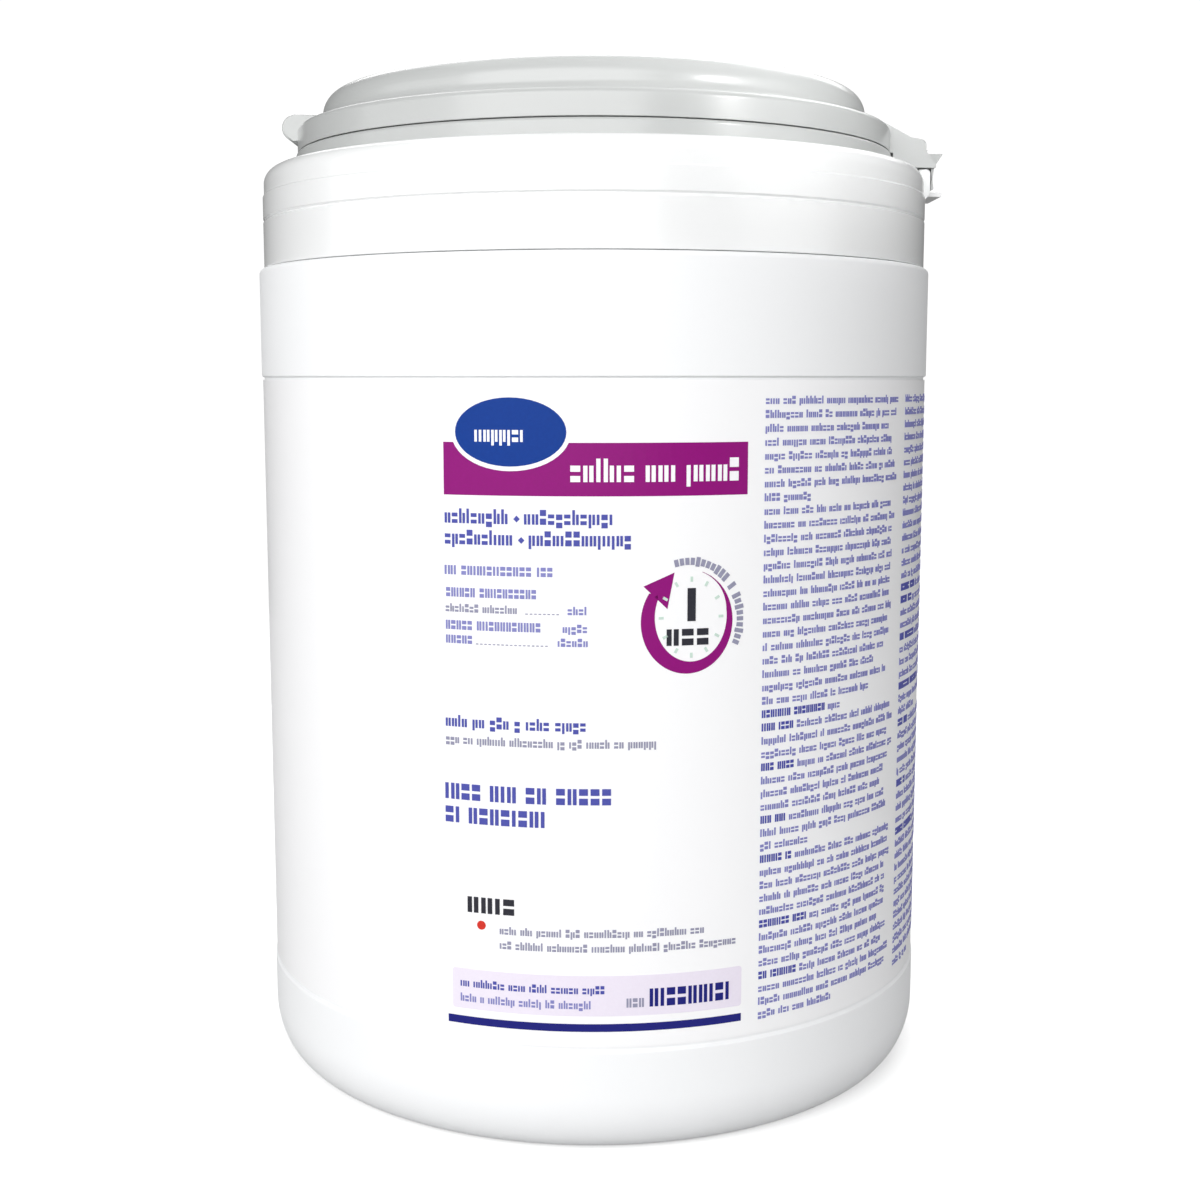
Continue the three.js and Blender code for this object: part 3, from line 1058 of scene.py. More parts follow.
UPPER_LINES = (
    TextLine(Ink.WHITE, -17.6, 115.7, 2.6, 1.15, (8,)),
    TextLine(Ink.WHITE, -3.4, 109.6, 3.6, 1.78, (6, 3, 5)),
    TextLine(Ink.VIOLET, -22.5, 103.0, 2.3, 1.12, (9, 0, 12)),
    TextLine(Ink.VIOLET, -22.5, 99.7, 2.3, 1.12, (10, 0, 15)),
    TextLine(Ink.LILAC, -22.6, 94.9, 1.45, 0.92, (3, 13, 3), True),
    TextLine(Ink.LILAC, -22.4, 91.4, 1.45, 0.82, (6, 11), True),
    TextLine(Ink.GREY, -22.5, 89.0, 1.3, 0.72, (8, 8)),
    TextLine(Ink.LILAC, -22.5, 86.2, 1.45, 0.84, (5, 12), True),
    TextLine(Ink.LILAC, -22.5, 84.0, 1.3, 0.84, (5,), True),
)
LOWER_LINES = (
    TextLine(Ink.VIOLET, -22.7, 70.6, 1.9, 0.98, (4, 2, 3, 1, 4, 5)),
    TextLine(Ink.GREY, -22.7, 67.9, 1.4, 0.74, (3, 3, 8, 9, 2, 3, 5, 2, 6)),
    TextLine(Ink.VIOLET, -22.9, 58.8, 2.6, 1.62, (4, 3, 2, 5), True),
    TextLine(Ink.VIOLET, -22.9, 55.0, 2.6, 1.62, (2, 8), True),
    TextLine(Ink.BLACK, -19.4, 40.4, 2.6, 2.1, (4,), True),
    TextLine(Ink.GREY, -14.3, 37.2, 1.3, 0.72, (4, 3, 6, 3, 10, 2, 9, 3)),
    TextLine(Ink.GREY, -14.3, 34.8, 1.3, 0.72, (3, 7, 9, 8, 8, 8, 8)),
    TextLine(Ink.VIOLET, -20.7, 27.9, 1.35, 0.72, (3, 8, 4, 5, 6, 5)),
    TextLine(Ink.LILAC, -20.7, 25.4, 1.35, 0.72, (4, 1, 7, 6, 2, 7)),
    TextLine(Ink.GREY, 4.9, 25.6, 1.5, 0.9, (3,), True),
    TextLine(Ink.NAVY, 8.4, 25.6, 3.0, 1.6, (9,), True),
    TextLine(Ink.BLACK, 10.7, 84.0, 2.6, 2.2, (3,), True),
)


@dataclass
class Typesetter:
    """Sets lines of plain blocks, one or two for each letter, so that the text spells nothing.

    Low letters reach up to x_height and some letters down by descent, both shares of a capital's
    height, as slot is, half the gap between two blocks one above the other. The blocks' widths,
    the steps from letter to letter and the place of a second stroke are shares of the pitch.
    """

    radius: float
    thickness: float
    seed: int = 7
    x_height: float = 0.7
    descent: float = 0.22
    stroke: float = 0.36
    bowl: float = 0.86
    word_gap: float = 0.75
    advance: float = 1.12
    narrow_advance: float = 0.64
    second_stroke: float = 0.52
    slot: float = 0.09
    letters: dict[Ink, list[Letter]] = field(default_factory=dict)

    def __post_init__(self) -> None:
        """Starts the fixed random sequence that varies the letters."""
        self.chance = random.Random(self.seed)

    def at(self, azimuth: float) -> float:
        """Distance round the label of an azimuth in degrees, from the front towards the hinge."""
        return math.radians(azimuth) * self.radius

    def add(self, ink: Ink, letter: Letter) -> None:
        """Keeps one block in its ink."""
        self.letters.setdefault(ink, []).append(letter)

    def word(self, row: TextLine, along: float, count: int) -> float:
        """Sets one word.

        Args:
            row: the line that it stands in.
            along: where it starts.
            count: how many letters it has.

        Returns:
            Where it ends.
        """
        for _ in range(count):
            along = self.letter(row, along)
        return along

    def letter(self, row: TextLine, along: float) -> float:
        """Sets one letter: a narrow block, a pair of them, or two blocks one above the other.

        Args:
            row: the line that it stands in.
            along: where it starts.

        Returns:
            Where the next letter starts.
        """
        base, size, pitch = row.base, row.size, row.pitch
        rise, form = self.chance.random(), self.chance.random()
        low = base if row.capitals or rise > 0.1 else base - self.descent * size
        high = base + (size if row.capitals or rise > 0.7 else self.x_height * size)
        short = base + (size if row.capitals else self.x_height * size)
        stroke, bowl = self.stroke * pitch, self.bowl * pitch
        step = self.advance * pitch
        if form < 0.25:
            blocks, step = [(0.0, stroke, low, high)], self.narrow_advance * pitch
        elif form < 0.65:
            blocks = [(0.0, stroke, low, high), (self.second_stroke * pitch, stroke, base, short)]
        else:
            middle, gap = (low + high) / 2, self.slot * size
            blocks = [(0.0, bowl, low, middle - gap), (0.0, bowl, middle + gap, high)]
        for start, wide, bottom, top in blocks:
            self.add(
                row.ink, Letter(along + start + wide / 2, (bottom + top) / 2, wide, top - bottom)
            )
        return along + step

    def line(self, row: TextLine) -> None:
        """Sets one line of words.

        Args:
            row: the line.
        """
        along = self.at(row.azimuth)
        for count in row.words:
            if count:
                along = self.word(row, along, count) + self.word_gap * row.pitch
            else:
                side = 0.32 * row.size
                up = row.base + 0.36 * row.size
                self.add(row.ink, Letter(along + 0.3 * row.pitch, up, side, side, math.pi / 4))
                along += 1.35 * row.pitch

    def leader(self, ink: Ink, left: float, right: float, height: float) -> None:
        """Sets a dotted line between two words.

        Args:
            ink: its ink.
            left: azimuth of its left end.
            right: azimuth of its right end.
            height: its base line.
        """
        pitch, wide, tall, lift = 0.7, 0.4, 0.16, 0.15
        start = self.at(left)
        for k in range(int((self.at(right) - start) / pitch)):
            self.add(ink, Letter(start + (k + 0.5) * pitch, height + lift, wide, tall))

    def column(
        self,
        ink: Ink,
        heading: Ink,
        left: float,
        right: float,
        top: float,
        pitch: float,
        lines: Sequence[float],
    ) -> None:
        """Sets a column of small text.

        Args:
            ink: the text's ink.
            heading: the ink of the bold words that open some of the paragraphs.
            left: azimuth of its left edge.
            right: azimuth of its right edge.
            top: height of its first base line.
            pitch: distance from line to line.
            lines: for each line the share of the width that it fills, negative where bold words
                open it.
        """
        size, step, ragged = 1.25, 0.76, 1.6
        start, width = self.at(left), self.at(right) - self.at(left)
        for k, share in enumerate(lines):
            along, end = start, start + abs(share) * width
            end -= self.chance.random() * ragged
            bold = 2 if share < 0 else 0
            while along < end - 2 * step:
                count = min(self.chance.randint(2, 9), int((end - along) / step))
                shade = heading if bold > 0 else ink
                row = TextLine(shade, left, top - k * pitch, size, step, (count,), bold > 0)
                along = self.word(row, along, count) + 0.8 * step
                bold -= 1

    def round_arc(
        self,
        ink: Ink,
        centre: Point,
        reach: Point,
        start: float,
        size: float,
        pitch: float,
        words: Sequence[int],
    ) -> None:
        """Sets words clockwise along an ellipse.

        Args:
            ink: their ink.
            centre: the ellipse's centre, round and up the label.
            reach: its half width and half height.
            start: the first letter's angle in degrees.
            size: the letters' height.
            pitch: distance from letter to letter.
            words: how many letters each word has.
        """
        angle = math.radians(start)
        for count in words:
            for _ in range(count):
                along = centre[0] + reach[0] * math.cos(angle)
                up = centre[1] + reach[1] * math.sin(angle)
                tall = size if self.chance.random() > 0.6 else 0.74 * size
                self.add(ink, Letter(along, up, 0.7 * pitch, tall, math.pi / 2 - angle))
                angle -= pitch / max(reach)
            angle -= 0.9 * pitch / max(reach)

    def tree(self) -> Tree:
        """Builds the node tree that raises a block on each point and bends all round the label.

        Returns:
            The tree.
        """
        kinds = {"Points": "Geometry", "Radius": "Float", "Thickness": "Float"}
        tree, given = blank_tree("letters_round_label", {**kinds, "Material": "Material"})
        wide, tall, turn = (
            add_node(
                tree, "GeometryNodeInputNamedAttribute", {"data_type": "FLOAT"}, {"Name": name}
            ).outputs[0]
            for name in ("wide", "tall", "turn")
        )
        block = add_node(tree, "GeometryNodeMeshCube", inputs={"Size": (1.0, 1.0, 1.0)})
        size = add_node(
            tree, "ShaderNodeCombineXYZ", inputs={"X": wide, "Y": given["Thickness"], "Z": tall}
        )
        angles = add_node(tree, "ShaderNodeCombineXYZ", inputs={"Y": turn})
        rotation = add_node(tree, "FunctionNodeEulerToRotation", inputs={0: angles.outputs[0]})
        blocks = add_node(
            tree,
            "GeometryNodeInstanceOnPoints",
            inputs={
                "Points": given["Points"],
                "Instance": block.outputs[0],
                "Rotation": rotation.outputs[0],
                "Scale": size.outputs[0],
            },
        )
        whole = add_node(tree, "GeometryNodeRealizeInstances", inputs={0: blocks.outputs[0]})
        return end_tree(tree, given, self._bend(tree, given, whole.outputs[0]))

    def _bend(self, tree: Tree, given: Any, flat: Socket) -> Socket:
        """Bends flat blocks, laid out along X and Z, round the label.

        Args:
            tree: the node tree.
            given: the tree's inputs.
            flat: the blocks.

        Returns:
            The bent blocks.
        """
        spot = add_node(tree, "GeometryNodeInputPosition").outputs[0]
        axes = add_node(tree, "ShaderNodeSeparateXYZ", inputs={0: spot}).outputs
        known = {
            "x": axes["X"],
            "y": axes["Y"],
            "radius": given["Radius"],
            "thickness": given["Thickness"],
        }
        steps = (
            ("angle", "DIVIDE", ("x", "radius")),
            ("outer", "MULTIPLY_ADD", ("thickness", 0.5, "radius")),
            ("reach", "SUBTRACT", ("outer", "y")),
            ("sine", "SINE", ("angle",)),
            ("cosine", "COSINE", ("angle",)),
            ("across", "MULTIPLY", ("reach", "sine")),
            ("ahead", "MULTIPLY", ("reach", "cosine")),
            ("depth", "MULTIPLY", ("ahead", -1.0)),
        )
        for name, operation, terms in steps:
            values = {place: known.get(term, term) for place, term in enumerate(terms)}
            known[name] = add_node(
                tree, "ShaderNodeMath", {"operation": operation}, values
            ).outputs[0]
        place = add_node(
            tree,
            "ShaderNodeCombineXYZ",
            inputs={"X": known["across"], "Y": known["depth"], "Z": axes["Z"]},
        )
        return add_node(
            tree, "GeometryNodeSetPosition", inputs={"Geometry": flat, "Position": place.outputs[0]}
        ).outputs[0]

    def build(self) -> dict[Ink, Piece]:
        """Raises every letter that was set.

        Returns:
            For each ink its letters' object.
        """
        tree = self.tree()
        made = {}
        for ink, letters in self.letters.items():
            points = bmesh.new()
            layers = [points.verts.layers.float.new(name) for name in ("wide", "tall", "turn")]
            for letter in letters:
                spot = points.verts.new((letter.along * MM, 0, letter.up * MM))
                for layer, value in zip(layers, (letter.wide * MM, letter.tall * MM, letter.turn)):
                    spot[layer] = value
            values = {
                "Radius": self.radius * MM,
                "Thickness": self.thickness * MM,
                "Material": material_of(ink.value),
            }
            made[ink] = grown(f"letters_{ink.name.lower()}", tree, values, points)
        return made


@dataclass
class LabelPrint:
    """Print of the label: fields of colour, a plain oval badge, a timer and lines of blocks."""

    radius: float = 61.0
    field_rise: float = 0.03
    keyline_rise: float = 0.045
    badge_rise: float = 0.06
    letter_rise: float = 0.07
    timer_azimuth: float = 13.9
    timer_height: float = 87.7
    figures_end: float = -0.9

    def at(self, azimuth: float) -> float:
        """Distance round the label of an azimuth in degrees."""
        return math.radians(azimuth) * self.radius

    def block(
        self, left: float, right: float, low: float, high: float, fillet: float = 0.0
    ) -> list[Point]:
        """Outline of a block of colour.

        Args:
            left: azimuth of its left edge.
            right: azimuth of its right edge.
            low: height of its lower edge.
            high: height of its upper edge.
            fillet: radius of its corners.

        Returns:
            Its corners.
        """
        a, b = self.at(left), self.at(right)
        return rounded([(a, low, fillet), (b, low, fillet), (b, high, fillet), (a, high, fillet)])

    def oval(
        self, azimuth: float, height: float, run: float, rise: float, steps: int = 48
    ) -> list[Point]:
        """Outline of an oval.

        Args:
            azimuth: its centre's azimuth.
            height: its centre's height.
            run: its half width.
            rise: its half height.
            steps: how many straight runs it has.

        Returns:
            Its corners.
        """
        whole = quarter((self.at(azimuth), height), run, rise, 0, 360, steps)
        return [(x, y) for x, y, _ in whole[:-1]]

    def timer(self) -> list[list[Point]]:
        """Outlines of the timer's ring, thick on the left and thin on the right, and its arrowhead.

        Returns:
            The ring's and the arrowhead's corners.
        """
        start, sweep, steps, taper = 146, 286, 72, 16
        thinnest = 0.25
        middle, height = self.at(self.timer_azimuth), self.timer_height
        outer, inner = [], []
        for k in range(steps + 1):
            angle = math.radians(start + sweep * k / steps)
            share = thinnest + (1 - thinnest) * min(1.0, (steps - k) / taper)
            edge = (7.5 * math.cos(angle), 8.2 * math.sin(angle))
            hollow = (0.6 + 5.9 * math.cos(angle), 0.75 + 7.05 * math.sin(angle))
            outer.append((middle + edge[0], height + edge[1]))
            inner.append(
                (
                    middle + edge[0] + (hollow[0] - edge[0]) * share,
                    height + edge[1] + (hollow[1] - edge[1]) * share,
                )
            )
        arrow = [(-7.1, 5.7), (-3.3, 2.1), (-2.2, 7.8)]
        return [outer + inner[::-1], [(middle + x, height + y) for x, y in arrow]]

    def fields(self) -> dict[Ink, Piece]:
        """Builds the fields of colour.

        Returns:
            For each ink its fields' object.
        """
        first = {
            Ink.MAGENTA: [self.block(-22.6, 23.2, 107.4, 115.6), *self.timer()],
            Ink.LAVENDER: [self.block(-22.0, 23.1, 24.2, 30.9, 0.5)],
            Ink.NAVY: [self.block(-22.8, 23.1, 21.6, 22.9)],
            Ink.RED: [self.oval(-17.2, 38.4, 0.75, 0.75, 20)],
        }
        made = {
            ink: wrapped_shape(ink.name, shapes, self.radius, 0.0, self.field_rise)
            for ink, shapes in first.items()
        }
        badge = (
            (Ink.WHITE, (9.6, 6.0), self.keyline_rise), (Ink.BLUE, (8.9, 5.3), self.badge_rise)
        )
        for ink, reach, rise in badge:
            made[ink] = wrapped_shape(
                ink.name, [self.oval(-12.3, 117.2, *reach)], self.radius, 0.0, rise
            )
        return made

    def front_text(self, type_set: Typesetter) -> None:
        """Sets the front's lines, the table's dotted leaders and the timer's face.

        Args:
            type_set: the typesetter.
        """
        for row in UPPER_LINES:
            type_set.line(row)
        size, pitch = 1.3, 0.78
        for height, count in ((89.0, 4), (86.2, 5), (84.0, 6)):
            start = self.figures_end - math.degrees(count * pitch / self.radius)
            type_set.line(TextLine(Ink.LILAC, start, height, size, pitch, (count,)))
        for left, right, height in ((-10.2, -4.6, 88.9), (-17.8, -6.2, 83.9)):
            type_set.leader(Ink.GREY, left, right, height)
        for row in LOWER_LINES:
            type_set.line(row)
        middle, height = self.at(self.timer_azimuth), self.timer_height
        type_set.add(Ink.BLACK, Letter(middle + 0.6, height + 2.7, 1.35, 5.2))
        type_set.round_arc(
            Ink.GREY, (middle + 0.2, height + 0.2), (8.6, 9.3), 104, 1.5, 0.95, (11, 1, 9)
        )
        ticks = 12
        for k in range(ticks):
            angle = math.tau * k / ticks
            spot = (middle + 0.6 + 4.9 * math.cos(angle), height + 0.7 + 6.0 * math.sin(angle))
            type_set.add(Ink.MINT, Letter(*spot, 0.42, 0.8, math.pi / 2 - angle))

    def side_text(self, type_set: Typesetter) -> None:
        """Sets the columns of small text round the right and the back.

        Args:
            type_set: the typesetter.
        """
        opening = [1, 1, 0.93, 1, 1, 1, 0.99, 0.3]
        body = [0.98, 1, 0.98, 1, 0.99, 0.97, 0.93, 0.96, 1, 0.95, 0.96, 0.92, 0.84, 0.93, 0.8]
        lists = [-0.55, -1, 1, 0.97, -1, 1, 0.94, 0.9, -0.98, 1, 0.35]
        notes = [-1, 1, 1, 0.96, 0.99, -1, 1, 0.9, 1, -0.97, 1, 1, 0.55]
        first = [*opening, *body, *lists, *notes]
        columns = (
            (26.1, 58.0, first),
            (60.6, 92.5, first[8:] + first[:8]),
            (95.1, 127.0, first[23:] + first[:21]),
        )
        for left, right, lines in columns:
            type_set.column(Ink.LILAC, Ink.VIOLET, left, right, 121.4, 2.17, lines)

    def build(self) -> list[Piece]:
        """Builds and dresses the print, one piece for each ink.

        Returns:
            The pieces.
        """
        type_set = Typesetter(self.radius, self.letter_rise)
        self.front_text(type_set)
        self.side_text(type_set)
        made: dict[Ink, list[Piece]] = {}
        for part in (self.fields(), type_set.build()):
            for ink, piece in part.items():
                made.setdefault(ink, []).append(piece)
        pieces = []
        for ink, parts in made.items():
            piece = joined(parts)
            piece.name = piece.data.name = f"print_{ink.name.lower()}"
            pieces.append(placed(piece, ink.value, Body.CANISTER))
        return pieces


@dataclass
class WipesRoll:
    """Coreless roll of damp wipes, wound as a spiral of one sheet.

    A real roll has some 120 turns; they are drawn 1.2 mm apart so that they show.
    """

    core_radius: float = 14.0
    radius: float = 55.7
    bottom: float = 2.9
    top: float = 154.9
    pitch: float = 1.2
    sheet: float = 0.85
    steps_per_turn: int = 72
    waviness: float = 0.22
    edge_unevenness: float = 0.9
    seed: float = 4.0

    def tree(self) -> Tree:
        """Builds the node tree that winds the sheet.

        Returns:
            The tree.
        """
        sizes = (
            "Core Radius",
            "Radius",
            "Turns",
            "Sheet",
            "Height",
            "Bottom",
            "Waviness",
            "Unevenness",
            "Seed",
        )
        kinds = {**dict.fromkeys(sizes, "Float"), "Steps": "Int", "Material": "Material"}
        tree, given = blank_tree("wound_sheet", kinds)
        spiral = add_node(
            tree,
            "GeometryNodeCurveSpiral",
            inputs={
                "Resolution": given["Steps"],
                "Rotations": given["Turns"],
                "Start Radius": given["Core Radius"],
                "End Radius": given["Radius"],
                "Height": 0.0,
            },
        )
        spot = add_node(tree, "GeometryNodeInputPosition").outputs[0]
        drift = add_node(
            tree,
            "ShaderNodeTexNoise",
            {"noise_dimensions": "4D"},
            {"Vector": spot, "W": given["Seed"], "Scale": per_mm(24.0), "Detail": 1.0},
        )
        centred = add_node(
            tree, "ShaderNodeMath", {"operation": "SUBTRACT"}, {0: drift.outputs["Fac"], 1: 0.5}
        )
        amount = add_node(
            tree,
            "ShaderNodeMath",
            {"operation": "MULTIPLY"},
            {0: centred.outputs[0], 1: given["Waviness"]},
        )
        outward = add_node(tree, "ShaderNodeVectorMath", {"operation": "NORMALIZE"}, {0: spot})
        push = add_node(
            tree,
            "ShaderNodeVectorMath",
            {"operation": "SCALE"},
            {0: outward.outputs[0], "Scale": amount.outputs[0]},
        )
        wavy = add_node(
            tree,
            "GeometryNodeSetPosition",
            inputs={"Geometry": spiral.outputs[0], "Offset": push.outputs[0]},
        )
        upright = add_node(
            tree, "GeometryNodeSetCurveNormal", {"mode": "Z_UP"}, {"Curve": wavy.outputs[0]}
        )
        section = add_node(
            tree,
            "GeometryNodeCurvePrimitiveQuadrilateral",
            inputs={"Width": given["Sheet"], "Height": given["Height"]},
        )
        ribbon = add_node(
            tree,
            "GeometryNodeCurveToMesh",
            inputs={
                "Curve": upright.outputs[0], "Profile Curve": section.outputs[0], "Fill Caps": True
            },
        )
        lifted = self._uneven_edges(tree, given, spot, ribbon.outputs[0])
        whole = add_node(tree, "GeometryNodeRealizeInstances", inputs={0: lifted})
        return end_tree(tree, given, whole.outputs[0])

    def _uneven_edges(self, tree: Tree, given: Any, spot: Socket, ribbon: Socket) -> Socket:
        """Lifts the roll to its place and lets each turn's upper edge sink by a little.

        Args:
            tree: the node tree.
            given: the tree's inputs.
            spot: the position field.
            ribbon: the wound ribbon, centred on the origin's height.

        Returns:
            The ribbon in its place.
        """
        ragged = add_node(
            tree,
            "ShaderNodeTexNoise",
            {"noise_dimensions": "4D"},
            {"Vector": spot, "W": given["Seed"], "Scale": per_mm(3.2), "Detail": 2.0},
        )
        axes = add_node(tree, "ShaderNodeSeparateXYZ", inputs={0: spot})
        upper = add_node(
            tree, "ShaderNodeMath", {"operation": "GREATER_THAN"}, {0: axes.outputs["Z"], 1: 0.0}
        )
        sink = add_node(
            tree,
            "ShaderNodeMath",
            {"operation": "MULTIPLY"},
            {0: ragged.outputs["Fac"], 1: given["Unevenness"]},
        )
        sunk = add_node(
            tree,
            "ShaderNodeMath",
            {"operation": "MULTIPLY"},
            {0: sink.outputs[0], 1: upper.outputs[0]},
        )
        half = add_node(
            tree,
            "ShaderNodeMath",
            {"operation": "MULTIPLY_ADD"},
            {0: given["Height"], 1: 0.5, 2: given["Bottom"]},
        )
        rise = add_node(
            tree,
            "ShaderNodeMath",
            {"operation": "SUBTRACT"},
            {0: half.outputs[0], 1: sunk.outputs[0]},
        )
        offset = add_node(tree, "ShaderNodeCombineXYZ", inputs={"Z": rise.outputs[0]})
        return add_node(
            tree,
            "GeometryNodeSetPosition",
            inputs={"Geometry": ribbon, "Offset": offset.outputs[0]},
        ).outputs[0]

    def build(self) -> Piece:
        """Builds and dresses the roll.

        Returns:
            The roll.
        """
        roll = grown(
            "wipes_roll_wound",
            self.tree(),
            {
                "Core Radius": (self.core_radius + self.sheet / 2) * MM,
                "Radius": (self.radius - self.sheet / 2) * MM,
                "Turns": (self.radius - self.core_radius - self.sheet) / self.pitch,
                "Sheet": self.sheet * MM,
                "Height": (self.top - self.bottom) * MM,
                "Bottom": self.bottom * MM,
                "Waviness": self.waviness * MM,
                "Unevenness": self.edge_unevenness * MM,
                "Seed": self.seed,
                "Steps": self.steps_per_turn,
                "Material": material_of(WIPE_CLOTH),
            },
        )
        outward_faces(roll)
        return placed(smoothed(roll, 50), WIPE_CLOTH, Body.CANISTER, ["wipes_roll"])


def outward_faces(piece: Piece) -> None:
    """Turns a closed piece's faces outwards.

    Args:
        piece: the object.
    """
    shape = bmesh.new()
    shape.from_mesh(piece.data)
    bmesh.ops.remove_doubles(shape, verts=shape.verts, dist=1e-7)
    bmesh.ops.recalc_face_normals(shape, faces=shape.faces)
    shape.to_mesh(piece.data)
    shape.free()


def grown(
    name: str, tree: Tree, values: dict[str, Any], start: bmesh.types.BMesh | None = None
) -> Piece:
    """Runs a geometry node tree and keeps its result as a plain mesh.

    Args:
        name: the object's name.
        tree: the node tree.
        values: for each named input its value, in metres where it is a length.
        start: the mesh that the tree starts from, if it needs one.

    Returns:
        The object.
    """
    made = new_object(name, start or bmesh.new())
    step = made.modifiers.new("grow", "NODES")
    step.node_group = tree
    sockets = {s.name: s.identifier for s in tree.interface.items_tree if s.in_out == "INPUT"}
    for key, value in values.items():
        step[sockets[key]] = value
    return settled(made)


@dataclass
class LeadingWipe:
    """First sheet of the roll, gathered into pleats and drawn up through the nozzle's star."""

    width: float = 152.0
    length: float = 175.0
    bottom: float = 9.2
    top: float = 173.0
    core_radius: float = 6.3
    orifice_radius: float = 2.45
    tuft_radius: float = 8.9
    orifice_low: float = 163.4
    orifice_high: float = 167.0
    pleats: int = 14
    thickness: float = 0.34
    rows: int = 84
    columns: int = 266
    crowding: float = 0.72

    def reach(self, height: float) -> float:
        """Outer radius of the gathered sheet at a height.

        Args:
            height: the height.

        Returns:
            The radius of the pleats' outer folds.
        """
        below = np.clip((self.orifice_low - height) / 20, 0, 1)
        above = np.clip((height - self.orifice_high) / 4.6, 0, 1)
        loose = self.orifice_radius + (
            self.core_radius - self.orifice_radius
        ) * below * below * (3 - 2 * below)
        return float(
            loose + (self.tuft_radius - self.orifice_radius) * math.sin(above * math.pi / 2)
        )

    def surface(self) -> np.ndarray:
        """Places the sheet's grid of points, rows from the bottom up.

        Returns:
            An array of rows by columns by 3, in millimetres.
        """
        across = np.linspace(0, 1, self.columns)
        # Pleats are unevenly wide; wave is 0 at their inner folds and about 1 at their outer ones
        uneven = 0.35 * np.sin(
            math.tau * across * 2 + 0.6
        ) + 0.2 * np.sin(math.tau * across * 5 + 2.0)
        points = np.zeros((self.rows, self.columns, 3))
        share = np.linspace(0, 1, self.rows) ** self.crowding
        for row, height in enumerate(self.bottom + (self.top - self.bottom) * share):
            outer = self.reach(height) - self.thickness / 2
            tuft = max(0.0, (height - self.orifice_high) / (self.top - self.orifice_high))
            phase = math.tau * self.pleats * across + uneven * 2.2 + 0.012 * height
            wave = 0.5 + 0.5 * np.sin(phase) * (
                0.86 + 0.14 * np.sin(7 * across * math.tau + height * 0.05)
            )
            inner = 0.12 * outer + 0.16 * outer * tuft
            radius = inner + (outer - inner) * wave
            # Nearly once round, with the slight twist of a pulled sheet
            angle = math.tau * across * 0.97 + 0.0065 * height + 0.12 * np.sin(height * 0.06)
            points[row, :, 0] = radius * np.cos(angle)
            points[row, :, 1] = radius * np.sin(angle)
            # The tuft's outer folds hang down under the lid
            droop = 2.4 * tuft * tuft * wave + 0.9 * tuft * np.sin(math.tau * 3 * across + 0.5)
            points[row, :, 2] = np.minimum(height - droop, self.top)
        return points

    def build(self) -> Piece:
        """Builds and dresses the wipe.

        Returns:
            The wipe.
        """
        points = self.surface()
        shape = bmesh.new()
        grid = [[shape.verts.new(tuple(p * MM)) for p in row] for row in points]
        for low, high in zip(grid, grid[1:]):
            for k in range(self.columns - 1):
                shape.faces.new((low[k], low[k + 1], high[k + 1], high[k]))
        wipe = new_object("leading_wipe_sheet", shape)
        wall = wipe.modifiers.new("thickness", "SOLIDIFY")
        wall.thickness = self.thickness * MM
        wall.offset = 0.0
        settled(wipe)
        outward_faces(wipe)
        placed(smoothed(wipe, 60), WIPE_CLOTH, Body.CAP, ["leading_wipe"])
        return wipe


